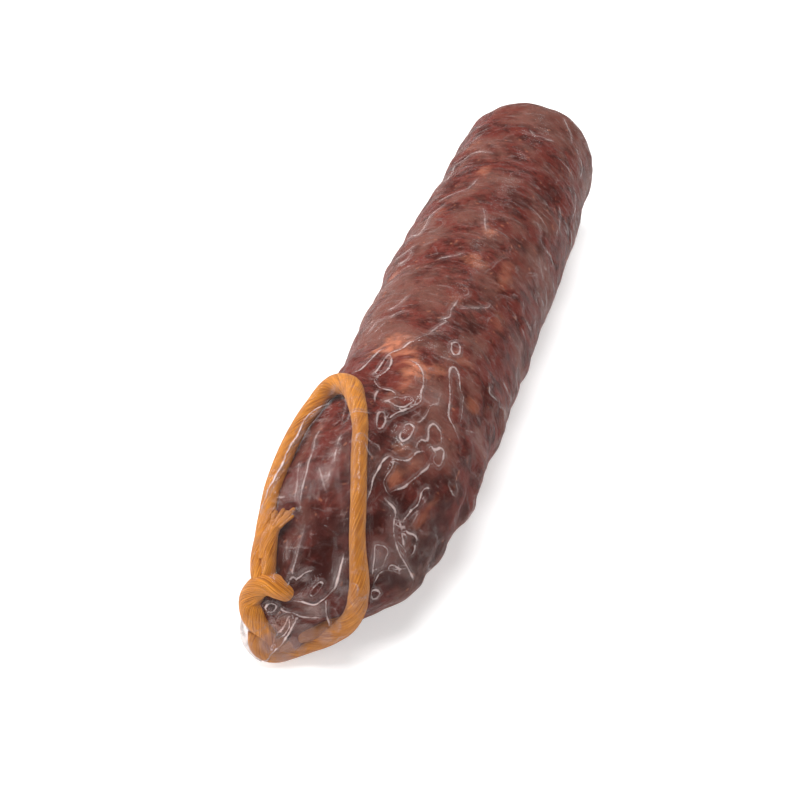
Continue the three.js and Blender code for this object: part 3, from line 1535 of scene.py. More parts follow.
        made = []
        for index, (y, turn) in enumerate(self.prongs):
            spots = self.on_casing((-97.5, 115.5))
            spots += self.on_casing((0.45 * y - 53.0, 0.5 * turn + 58), lift=1.5 * MM)
            spots += self.on_casing((y, turn), lift=0.9 * MM)
            route = Route(spots, steps=24)
            made.append(Strand(f"twine_prong_{index}", route, self.prong_radius, taper, yarns=3, columns=16))
        roots = ((-95.5, 111.0, 3.2, -4.5), (-96.0, 118.0, 2.4, 3.5))
        for index in range(self.frays):
            y, turn, ahead, aside = roots[index % 2]
            spread = noise.noise(Vector((index * 1.7, 0.3, 0.9)))
            reach = 1 + 0.35 * noise.noise(Vector((0.4, index * 2.3, 1.9)))
            spots = self.on_casing(
                (y, turn + spread * 2),
                (y + ahead * reach * 0.6, turn + aside * 0.4 + spread * 5),
                (y + ahead * reach * 1.3, turn + aside + spread * 11),
            )
            route = Route(spots, steps=14)
            made.append(Strand(f"twine_fray_{index}", route, self.fray_radius, yarns=3, columns=8))
        return made

    def build(self) -> list[Piece]:
        """Builds all the twine and returns its pieces."""
        strands = [self.loop(), self.second_turn(), self.knot(), *self.cut_ends(), *self.fray_strands()]
        return [strand.build() for strand in strands]


@dataclass(frozen=True)
class CreaseForm:
    """How a kind of crease looks.

    Attributes:
        height: How far it stands out.
        width: Half the width of its foot.
        white: How white its line is, partly the film's own whitening and partly painted highlight.
        veil: How milky the film beside it is.
        reach: How far that milkiness goes to each side.
    """

    height: float
    width: float
    white: float
    veil: float
    reach: float


class Crease(Enum):
    """The kinds of crease that follow a route."""

    LINE = CreaseForm(height=0.2 * MM, width=0.55 * MM, white=0.8, veil=0.15, reach=0.9 * MM)
    # The bright kind is painted highlights and glints on the film's creases.
    BRIGHT = CreaseForm(height=0.35 * MM, width=0.6 * MM, white=1.3, veil=0.5, reach=1.0 * MM)
    STREAK = CreaseForm(height=0.3 * MM, width=0.9 * MM, white=0.45, veil=1.0, reach=1.1 * MM)
    TENT = CreaseForm(height=0.6 * MM, width=0.9 * MM, white=0.9, veil=1.6, reach=1.6 * MM)


@dataclass(frozen=True)
class Fold:
    """A crease of the film that follows a route.

    Attributes:
        kind: Its kind.
        spots: Its points, in millimetres along the film and degrees round it.
    """

    kind: Crease
    spots: tuple[tuple[float, float], ...]

    @property
    def closed(self) -> bool:
        """Whether it comes back to its start."""
        return self.spots[0] == self.spots[-1]


@dataclass(frozen=True)
class Blot:
    """A soft spot of the film: milky by itself, a painted highlight, or over a fold of the bare, gathered
    casing.

    Attributes:
        spot: Its middle, in millimetres along the film and degrees round it.
        radius: How far it reaches.
        strength: How dense it is.
    """

    spot: tuple[float, float]
    radius: float
    strength: float


@dataclass
class Film:
    """The clear film, drawn taut over what it holds and creased where it has too much length.

    Attributes:
        stick: The stick it holds.
        folds: The creases that follow routes.
        skins: The folds of bare casing behind it.
        mists_and_highlights: Where it is milky without standing off, and where soft highlights are painted
            on.
        rows: The faces along it.
        columns: The faces around it.
        far_pole: Where the rays of the far end fan out from, along Y.
        tail_pole: Where the rays of the tail end fan out from, along Y.
        thickness: The film's distance from what it touches.
        pull: How many times it is drawn taut.
        ring_size: The size of the closed creases.
        ring_bend: How far they are bent out of round.
        ring_level: The higher, the fewer and smaller they are.
        ring_height: Their height.
        ring_start: Where they fade in along Y, past the knot.
        hoop_length: The length of the hoop creases round the stick.
        hoop_step: Their spacing along it.
        hoop_drift: How far they wander, in steps.
        drift_size: Over what length along and around they do so.
        hoop_height: Their height.
        zone_size: The length along and around of the zones with more rings or more hoops.
        slopes: The slopes of a pattern, for a metre, between which its lines get clear.
        fade: How far from a line its marks fade out, in negative millimetres.
        body_start: Where the film starts to hang straight from the flanks along Y.
        crease_width: Half the width of the foot of a ring or a hoop.
        end_share: How strong a crease is at its very ends, as a share.
        end_growth: How fast that grows from there, for a whole crease's length.
        line_full: A crease's strength at its middle, before it is capped at 1.
        line_fall: How much of that it loses in a millimetre to either side.
        stand_off_veil: How milky the film is where it stands fully off.
        table_gap: How far it stays over the table.
        veil_start: How far the film stands off where it starts to look milky.
        veil_full: How far it stands off where it is fully milky.
    """

    stick: Stick
    folds: tuple[Fold, ...] = ()
    skins: tuple[Blot, ...] = ()
    mists_and_highlights: tuple[Blot, ...] = ()
    rows: int = 404
    columns: int = 244
    far_pole: float = 100 * MM
    tail_pole: float = -90 * MM
    thickness: float = 0.15 * MM
    pull: int = 26
    ring_size: float = 11.0 * MM
    ring_bend: float = 0.3
    ring_level: float = 0.2
    ring_height: float = 0.16 * MM
    ring_start: tuple[float, float] = (-110 * MM, -100 * MM)
    hoop_length: float = 24 * MM
    hoop_step: float = 5.5 * MM
    hoop_drift: float = 1.6
    drift_size: tuple[float, float] = (30 * MM, 26 * MM)
    hoop_height: float = 0.16 * MM
    zone_size: tuple[float, float] = (19 * MM, 15 * MM)
    slopes: tuple[float, float] = (25.0, 60.0)
    fade: tuple[float, float] = (-2.6, -1.6)
    body_start: tuple[float, float] = (-80 * MM, -60 * MM)
    crease_width: float = 0.6 * MM
    end_share: float = 0.25
    end_growth: float = 7.0
    line_full: float = 1.6
    line_fall: float = 1.15
    stand_off_veil: float = 0.35
    table_gap: float = 0.15 * MM
    veil_start: float = 0.5 * MM
    veil_full: float = 2.6 * MM
    places: np.ndarray = field(init=False)
    origins: np.ndarray = field(init=False)
    directions: np.ndarray = field(init=False)

    def __post_init__(self) -> None:
        """Lays out the rays that the film's points slide on."""
        far_turn = self.stick.radius * math.pi / 2
        tail_turn = self.stick.radius_at(self.tail_pole) * math.pi / 2
        straight = self.far_pole - self.tail_pole
        whole = far_turn + straight + tail_turn
        self.origins = np.zeros((self.rows + 1, self.columns, 3))
        self.directions = np.zeros_like(self.origins)
        self.places = np.zeros(self.rows + 1)
        turns = 2 * np.pi * np.arange(self.columns) / self.columns - np.pi / 2
        for row in range(self.rows + 1):
            walked = whole * row / self.rows
            y = min(self.far_pole, max(self.tail_pole, self.far_pole - (walked - far_turn)))
            fan = 0.0
            if walked < far_turn:
                fan = -(1 - walked / far_turn) * math.pi / 2
            elif walked > far_turn + straight:
                fan = (walked - far_turn - straight) / tail_turn * math.pi / 2
            along, right, top = (np.array(way) for way in self.stick.axes(y))
            side = np.cos(turns)[:, None] * right + np.sin(turns)[:, None] * top
            self.places[row] = self.far_pole - (walked - far_turn)
            self.origins[row] = self.stick.centre(y)
            self.directions[row] = side * math.cos(fan) + along * math.sin(fan)

    def cast(self, held: list[Piece]) -> np.ndarray:
        """Measures how far out the held pieces reach on each ray.

        Args:
            held: The pieces inside the film.

        Returns:
            The distance along each ray.
        """
        graph = bpy.context.evaluated_depsgraph_get()
        trees = [BVHTree.FromObject(piece.thing, graph) for piece in held]
        reach = np.zeros(self.origins.shape[:2])
        for index in np.ndindex(*reach.shape):
            direction = Vector(self.directions[index])
            source = Vector(self.origins[index]) + direction * RAY_START
            for tree in trees:
                hit = tree.ray_cast(source, -direction, RAY_START)
                if hit[0] is not None:
                    reach[index] = max(reach[index], RAY_START - hit[3])
        return reach

    def points(self, reach: np.ndarray) -> np.ndarray:
        """Returns the film's points at a distance along each ray."""
        return self.origins + reach[..., None] * self.directions

    def drawn_taut(self, least: np.ndarray) -> np.ndarray:
        """Draws the film taut over what it holds.

        Args:
            least: The least distance along each ray.

        Returns:
            The film's distance along each ray.
        """
        reach = least.copy()
        for _ in range(self.pull):
            points = self.points(reach)
            beside = np.roll(points, 1, axis=1) + np.roll(points, -1, axis=1)
            before = np.concatenate([points[:1], points[:-1]])
            after = np.concatenate([points[1:], points[-1:]])
            middle = (beside + before + after) / 4
            taut = ((middle - self.origins) * self.directions).sum(axis=-1)
            taut[0] = reach[1].mean()
            taut[-1] = reach[-2].mean()
            reach = np.maximum(least, taut)
        return reach

    def spot(self, points: np.ndarray, y: float, degrees: float) -> Vector:
        """Finds a point of the film.

        Args:
            points: The film's points.
            y: The place along it, in millimetres.
            degrees: The place round it.

        Returns:
            The point.
        """
        row = float(np.interp(-y * MM, -self.places, np.arange(self.rows + 1)))
        column = (degrees + 90) / 360 * self.columns
        low_row, low_column = min(int(row), self.rows - 1), math.floor(column)
        down, across = row - low_row, column - low_column
        columns = (low_column % self.columns, (low_column + 1) % self.columns)
        corners = points[np.ix_((low_row, low_row + 1), columns)]
        edge = corners[0] * (1 - down) + corners[1] * down
        return Vector(edge[0] * (1 - across) + edge[1] * across)

    @staticmethod
    def nearest(
        found: np.ndarray, walk: np.ndarray, outwards: np.ndarray
    ) -> tuple[np.ndarray, np.ndarray, np.ndarray]:
        """Finds the nearest place of a crease.

        Args:
            found: The points to start from.
            walk: The places of the crease.
            outwards: The way out of the film at each point.

        Returns:
            For each point the distance, the share along the crease, and 1 or -1 for the side it is on.
        """
        ahead = walk[1:] - walk[:-1]
        share = ((found[:, None] - walk[:-1]) * ahead).sum(-1) / (ahead ** 2).sum(-1)
        share = np.clip(share, 0, 1)
        foot = walk[:-1] + share[..., None] * ahead
        gaps = np.linalg.norm(found[:, None] - foot, axis=-1)
        best = gaps.argmin(axis=1)
        pick = np.arange(len(best))
        crossed = np.cross(ahead[best], found - foot[pick, best])
        sign = np.where((crossed * outwards).sum(-1) < 0, -1.0, 1.0)
        return gaps[pick, best], (best + share[pick, best]) / len(ahead), sign

    def fold_fields(self, points: np.ndarray) -> tuple[np.ndarray, np.ndarray, np.ndarray, np.ndarray]:
        """Measures the folds on each point of the film.

        Args:
            points: The film's points.

        Returns:
            The distance to the side of the nearest fold in millimetres, its strength nearby, the height that
            the folds add, and the veil beside them.
        """
        side = np.full(points.shape[:2], FAR_SIDE)
        near, height, veil = (np.zeros(points.shape[:2]) for _ in range(3))
        for fold in self.folds:
            form = fold.kind.value
            spots = [self.spot(points, *spot) for spot in fold.spots]
            walk = np.array(Route(spots, steps=8 * (len(spots) - fold.closed)).places)
            margin = max(4 * form.width, 2.5 * form.reach)
            inside = (points > walk.min(axis=0) - margin) & (points < walk.max(axis=0) + margin)
            where = np.nonzero(inside.all(axis=-1))
            if not len(where[0]):
                continue
            gap, share, sign = self.nearest(points[where], walk, self.directions[where])
            ends = 1.0
            if not fold.closed:
                ends = np.clip(np.minimum(share, 1 - share) * self.end_growth + self.end_share, 0, 1)
            strength = form.white * ends * np.clip(self.line_full - self.line_fall * gap / MM, 0, 1)
            aside = np.clip(sign * gap / MM, -FAR_SIDE, FAR_SIDE)
            side[where] = np.where(strength > near[where], aside, side[where])
            near[where] = np.maximum(near[where], strength)
            for values, size, width in ((height, form.height, form.width), (veil, form.veil, form.reach)):
                values[where] = np.maximum(values[where], size * ends * np.exp(-((gap / width) ** 2)))
        return side, near, height, veil

    def blot_field(self, points: np.ndarray, blots: Sequence[Blot]) -> np.ndarray:
        """Spreads soft spots over the film.

        Args:
            points: The film's points.
            blots: The spots.

        Returns:
            How dense they are at each point.
        """
        dense = np.zeros(points.shape[:2])
        for blot in blots:
            gap = np.linalg.norm(points - np.array(self.spot(points, *blot.spot)), axis=-1)
            dense = np.maximum(dense, blot.strength * smooth_shares(-gap, -blot.radius, -0.35 * blot.radius))
        return dense

    def beside(self, pattern: np.ndarray, points: np.ndarray) -> tuple[np.ndarray, np.ndarray]:
        """Turns a pattern that is 0 on its lines into distances from them.

        Args:
            pattern: The pattern's value on each point.
            points: The film's points.

        Returns:
            The distance to the lines in millimetres, and how clearly there is a line at all.
        """
        down = np.gradient(pattern, axis=0) / (np.linalg.norm(np.gradient(points, axis=0), axis=-1) + 1e-6)
        wrapped = np.concatenate([pattern[:, -1:], pattern, pattern[:, :1]], axis=1)
        steps = np.linalg.norm(points - np.roll(points, 1, axis=1), axis=-1) + 1e-6
        across = (wrapped[:, 2:] - wrapped[:, :-2]) / 2 / steps
        slope = np.hypot(down, across)
        gap = np.clip(pattern / (slope + 1.0) / MM, -FAR_SIDE, FAR_SIDE)
        return gap, smooth_shares(slope, *self.slopes) * smooth_shares(-np.abs(gap), *self.fade)

    def loose_fields(self, points: np.ndarray) -> dict[Line, tuple[np.ndarray, np.ndarray]]:
        """Spreads rings and hoops over the film.

        Args:
            points: The film's points.

        Returns:
            For each kind, the distance to its lines in millimetres and its strength nearby.
        """
        rings = np.zeros(points.shape[:2])
        hoops = np.zeros(points.shape[:2])
        zones = np.zeros(points.shape[:2])
        for row, column in np.ndindex(*rings.shape):
            y = self.places[row]
            spot = Vector(points[row, column]) / self.ring_size
            bend = Vector([noise.noise(spot * 2.3 + offset) for offset in BEND_OFFSETS])
            bent = spot + self.ring_bend * bend
            rings[row, column] = noise.noise(bent) - self.ring_level
            around = self.stick.radius * 2 * math.pi * column / self.columns
            far = Vector((y / self.drift_size[0], around / self.drift_size[1], 5.0))
            drift = self.hoop_drift * noise.noise(far)
            stretched = Vector((y / self.hoop_step + drift, around / self.hoop_length, 2.0))
            hoops[row, column] = noise.noise(stretched)
            broad = Vector((y / self.zone_size[0], around / self.zone_size[1], 9.0))
            zones[row, column] = noise.noise(broad)
        angles = 2 * np.pi * np.arange(self.columns) / self.columns - np.pi / 2
        towards_tail = np.clip((30 * MM - self.places) / (60 * MM), 0, 1)[:, None]
        on_flank = np.clip(1.15 - np.sin(angles), 0, 1)[None, :]
        off_neck = smooth_shares(self.places, *self.ring_start)[:, None]
        ring_near = np.clip(zones * 4 + 0.2, 0, 1) * (0.1 + 0.4 * towards_tail) * off_neck
        hoop_near = np.clip(0.4 - zones * 4, 0, 1) * (1 - 0.7 * towards_tail) * on_flank * 0.7
        ring_side, ring_clear = self.beside(rings, points)
        hoop_side, hoop_clear = self.beside(hoops, points)
        return {
            Line.RING: (ring_side, ring_near * ring_clear),
            Line.HOOP: (hoop_side, hoop_near * hoop_clear),
        }

    def build(self, held: list[Piece]) -> Piece:
        """Builds the film.

        Args:
            held: The pieces it holds.

        Returns:
            Its piece.
        """
        angles = 2 * np.pi * np.arange(self.columns) / self.columns - np.pi / 2
        flank = np.array([Sausage(self.stick).flank(float(angle)) for angle in angles])[None, :]
        least = self.cast(held) + self.thickness
        body = smooth_shares(self.places, *self.body_start)[:, None]
        reach = self.drawn_taut(least + flank * body * Sausage.flank_gap * 0.9)
        taut = self.points(reach)
        side, near, height, veil = self.fold_fields(taut)
        bare = 1 - smooth_shares(veil, 0.0, 0.002)
        loose = {kind: (gap, strength * bare) for kind, (gap, strength) in self.loose_fields(taut).items()}
        fields = {Line.FOLD: (side, near), **loose}
        stand_off = smooth_shares(reach - least, self.veil_start, self.veil_full) * self.stand_off_veil
        marks = {
            VEIL: np.maximum(np.maximum(veil, stand_off), self.blot_field(taut, self.mists_and_highlights)),
            SKIN: self.blot_field(taut, self.skins),
        }
        reach = reach + height
        for kind, size in ((Line.RING, self.ring_height), (Line.HOOP, self.hoop_height)):
            gap, strength = fields[kind]
            reach = reach + size * strength * np.exp(-((gap * MM / self.crease_width) ** 2))
        for kind, (gap, strength) in fields.items():
            marks[kind.side] = gap
            marks[kind.near] = strength
        points = self.points(reach)
        points[..., 2] = np.maximum(points[..., 2], self.table_gap)
        points[0] = points[0].mean(axis=0)
        points[-1] = points[-1].mean(axis=0)

        def read(values: np.ndarray) -> Callable[[float, float], np.ndarray]:
            """Opens one value of the film to the grid.

            Args:
                values: The value on each point.

            Returns:
                What reads it from the shares along and around.
            """
            def value(along: float, around: float) -> np.ndarray:
                """Returns the value at a point."""
                return values[round(along * self.rows), round(around * self.columns) % self.columns]

            return value

        shape = wrapped_grid(
            self.rows,
            self.columns,
            lambda along, around: Vector(read(points)(along, around)),
            {name: read(values) for name, values in marks.items()},
        )
        piece = Piece("film", shape)
        piece.wear(FilmFinish(), Slot.FILM)
        piece.settle(Node.SAUSAGE)
        return piece


@dataclass
class FilmFlap:
    """The loose fin of the film's welded edge beside the knot.

    Attributes:
        inner: Its edge on the pack, from top to bottom.
        outer: Its free edge, from top to bottom.
        thickness: Its thickness.
        cuts: The rows of new points between two given ones.
        veil: How milky it is.
        weld: How strong the white line of its weld is.
        edge: How strong the painted shade at its free edge is.
    """

    inner: tuple[Triple, ...] = FLAP_INNER
    outer: tuple[Triple, ...] = FLAP_OUTER
    thickness: float = 0.12 * MM
    cuts: int = 5
    veil: float = 2.0
    weld: float = 1.2
    edge: float = 0.45

    def build(self) -> Piece:
        """Builds the fin.

        Returns:
            Its piece.
        """
        shape = bmesh.new()
        rails = []
        veil = shape.verts.layers.float.new(VEIL)
        side = shape.verts.layers.float.new(Line.FOLD.side)
        near = shape.verts.layers.float.new(Line.FOLD.near)
        for rail, gap, strength in ((self.inner, 0.0, self.weld), (self.outer, 1.0, self.edge)):
            verts = [shape.verts.new(Vector(spot) * MM) for spot in rail]
            for vert in verts:
                vert[veil] = self.veil
                vert[side] = gap
                vert[near] = strength
            rails.append([shape.edges.new(pair) for pair in zip(verts, verts[1:])])
        bmesh.ops.bridge_loops(shape, edges=rails[0] + rails[1])
        bmesh.ops.subdivide_edges(shape, edges=shape.edges, cuts=self.cuts, use_grid_fill=True, smooth=1.0)
        bmesh.ops.recalc_face_normals(shape, faces=shape.faces)
        bmesh.ops.solidify(shape, geom=shape.faces, thickness=self.thickness)
        piece = Piece("film_flap", shape)
        piece.wear(FilmFinish(), Slot.FILM)
        piece.settle(Node.SAUSAGE)
        return piece


@dataclass(frozen=True)
class Lamp:
    """A soft square lamp.

    Attributes:
        name: Its name.
        place: Where it hangs.
        size: Its width.
        power: Its power in watts.
    """

    name: str
    place: Triple
    size: float
    power: float

    def hang(self, target: Vector) -> None:
        """Hangs the lamp.

        Args:
            target: What it faces.
        """
        light = bpy.data.lights.new(self.name, "AREA")
        light.shape = "SQUARE"
        light.size = self.size
        light.energy = self.power
        lamp = bpy.data.objects.new(self.name, light)
        lamp.location = self.place
        lamp.rotation_euler = (target - lamp.location).to_track_quat("-Z", "Y").to_euler()
        bpy.context.scene.collection.objects.link(lamp)


@dataclass
class Studio:
    """The table, the lights and the camera.

    Attributes:
        elevation: The camera's height over the horizon, in degrees.
        azimuth: How far it is turned to the right of -Y, in degrees.
        distance: From the camera to what it looks at.
        target: What it looks at.
        lens: The focal length, in millimetres.
        sensor: The width of its film, in millimetres.
        table_size: How wide the table is.
        room_light: How bright the room is.
        lamps: The lamps.
    """

    elevation: float = 40.0
    azimuth: float = 17.05
    distance: float = 411.7 * MM
    target: Vector = field(default_factory=lambda: Vector((-7.83, -22.71, 20.0)) * MM)
    lens: float = 63.0
    sensor: float = 36.0
    table_size: float = 3.0
    room_light: float = 0.25
    lamps: tuple[Lamp, ...] = (
        Lamp("top_light", (0.0, -0.05, 1.05), 0.5, 9.5),
        Lamp("left_light", (-1.1, 0.1, 0.7), 0.8, 10.0),
        Lamp("back_light", (0.1, 1.2, 1.0), 0.3, 1.6),
        Lamp("front_light", (-0.7, -1.0, 0.6), 0.6, 4.2),
    )

    def table(self) -> None:
        """Lays the white table."""
        shape = bmesh.new()
        bmesh.ops.create_grid(shape, x_segments=1, y_segments=1, size=self.table_size)
        piece = Piece("table", shape)
        piece.thing.data.materials.append(FloorFinish().material())

    def camera(self) -> None:
        """Stands the camera where the photograph was taken from."""
        lift, turn = math.radians(self.elevation), math.radians(self.azimuth)
        back = Vector((math.sin(turn) * math.cos(lift), -math.cos(turn) * math.cos(lift), math.sin(lift)))
        camera = bpy.data.objects.new("camera", bpy.data.cameras.new("camera"))
        camera.data.lens = self.lens
        camera.data.sensor_width = self.sensor
        camera.data.clip_start = 0.01
        camera.location = self.target + back * self.distance
        camera.rotation_euler = (-back).to_track_quat("-Z", "Y").to_euler()
        bpy.context.scene.collection.objects.link(camera)
        bpy.context.scene.camera = camera

    def build(self) -> None:
        """Sets up the table, the camera, the lamps and the room."""
        self.table()
        self.camera()
        for lamp in self.lamps:
            lamp.hang(self.target)
        room = bpy.data.worlds.new("room")
        room.use_nodes = True
        background = room.node_tree.nodes["Background"]
        background.inputs["Color"].default_value = (1.0, 1.0, 1.0, 1.0)
        background.inputs["Strength"].default_value = self.room_light
        bpy.context.scene.world = room
        bpy.context.scene.view_settings.view_transform = "Standard"
        LOG.info("studio: table, camera and %d lamps", len(self.lamps))


TONED = {
    Tone.FAT: (
        (-33.2, 107, 5.5, 6, 1), (-36.8, 96, 3.5, 5, 0.75), (-42.9, 84, 4.5, 5, 1), (-40.6, 69, 4, 4, 0.55),
        (-49.4, 85, 5, 4, 0.45), (10.8, 78, 4, 5, 0.45), (27.4, 78, 3.5, 2.5, 0.5), (11.6, 56, 8, 3, 0.3),
        (7.9, 140, 3, 4, 0.4), (61.5, 101, 5, 2.5, 0.4), (85.4, 124, 5, 3, 0.3), (-41.7, 38, 4, 3, 0.35),
        (-31.7, 59, 3, 5, 0.25), (-73.1, 59, 2.2, 2.2, 0.5), (-68.6, 56, 3, 2.5, 0.2),
        (-73.6, 29, 5, 2, 0.3), (-7.6, 46, 7, 3, 0.2), (-66.1, 68, 2.5, 3, 0.3), (-9.8, 80, 5, 3, 0.15),
        (37.5, 122, 5, 3, 0.2),
    ),
    # Dark meat, and on the tail painted shade beside the twine's right strand, as at (-87, 70) and (-95, 50).
    Tone.DARK: (
        (-77.1, 46, 5, 4, 1), (-87.8, 8, 6, 5, 1), (-94.7, 61, 10, 4.5, 1), (-91.3, 80, 5, 4, 0.8),
        (-67.2, 80, 5, 3, 0.9), (-17.6, 63, 5, 6, 0.6), (-33.4, 32, 5, 4, 0.7), (-67, 36, 4, 4, 0.6),
        (-32.8, 88, 3, 3, 0.6), (-78.1, -5, 9, 4, 0.9), (64.4, 50, 14, 6, 0.5), (-74.2, 109, 5, 2.5, 0.9),
        (35.9, 38, 5, 3, 0.7), (-49.1, 100, 2.5, 2.5, 0.7), (-63.2, 110, 4, 2, 0.7),
        (-81.6, 52, 9, 2.5, 0.9), (-57.3, 77, 3, 4, 0.7), (-109.6, 53, 3, 4, 0.8), (29.7, 55, 6, 4, 0.5),
        (-67, 22, 8, 4, 0.6), (98, 74, 6, 6, 0.4), (0.8, 52, 4, 4, 0.3), (-27.8, 68, 4, 2, 0.4),
        (-73.4, -1, 8, 5, 0.7), (-67.5, 71, 8, 5, 0.85), (-56, 68, 4, 3.5, 0.6), (-77, 67, 5, 4, 0.8),
        (-63.5, 25, 5, 4, 0.85), (-75, 14, 8, 6, 0.95), (-80.5, 6, 6, 5, 0.9), (-89, 78, 5, 3, 0.8),
        (-98, 56, 5, 5, 1), (-88, 18, 5, 5, 0.7), (-106, 62, 4, 5, 0.7), (-87, 70, 8, 3.5, 1),
        (-95, 50, 5, 4, 1), (-80, 86, 5, 3, 0.6), (-100, 78, 7, 6, 0.9), (-99, 98, 5, 4, 0.6),
    ),
    Tone.BROWN: (
        (35, 98, 9, 8, 0.8), (24, 80, 8, 7, 0.7), (-23, 53, 9, 6, 0.8), (-37, 47, 4, 5, 0.8),
        (-45, 66, 4, 4, 0.9), (-55, 89, 3, 4, 0.8), (5, 114, 5, 4, 0.6), (-49.1, 62, 8, 3, 0.8),
        (-48.4, 21, 7, 4, 0.7), (-72, 132, 9, 3.5, 0.9), (36.4, 60, 4, 4, 0.6), (-36.1, 21, 4, 3, 0.5),
        (-61.6, 58, 3, 3, 0.6), (51.7, 84, 6, 5, 0.4), (-92.3, 97, 9, 3, 0.7), (-62.9, 44, 5, 4, 0.5),
    ),
}
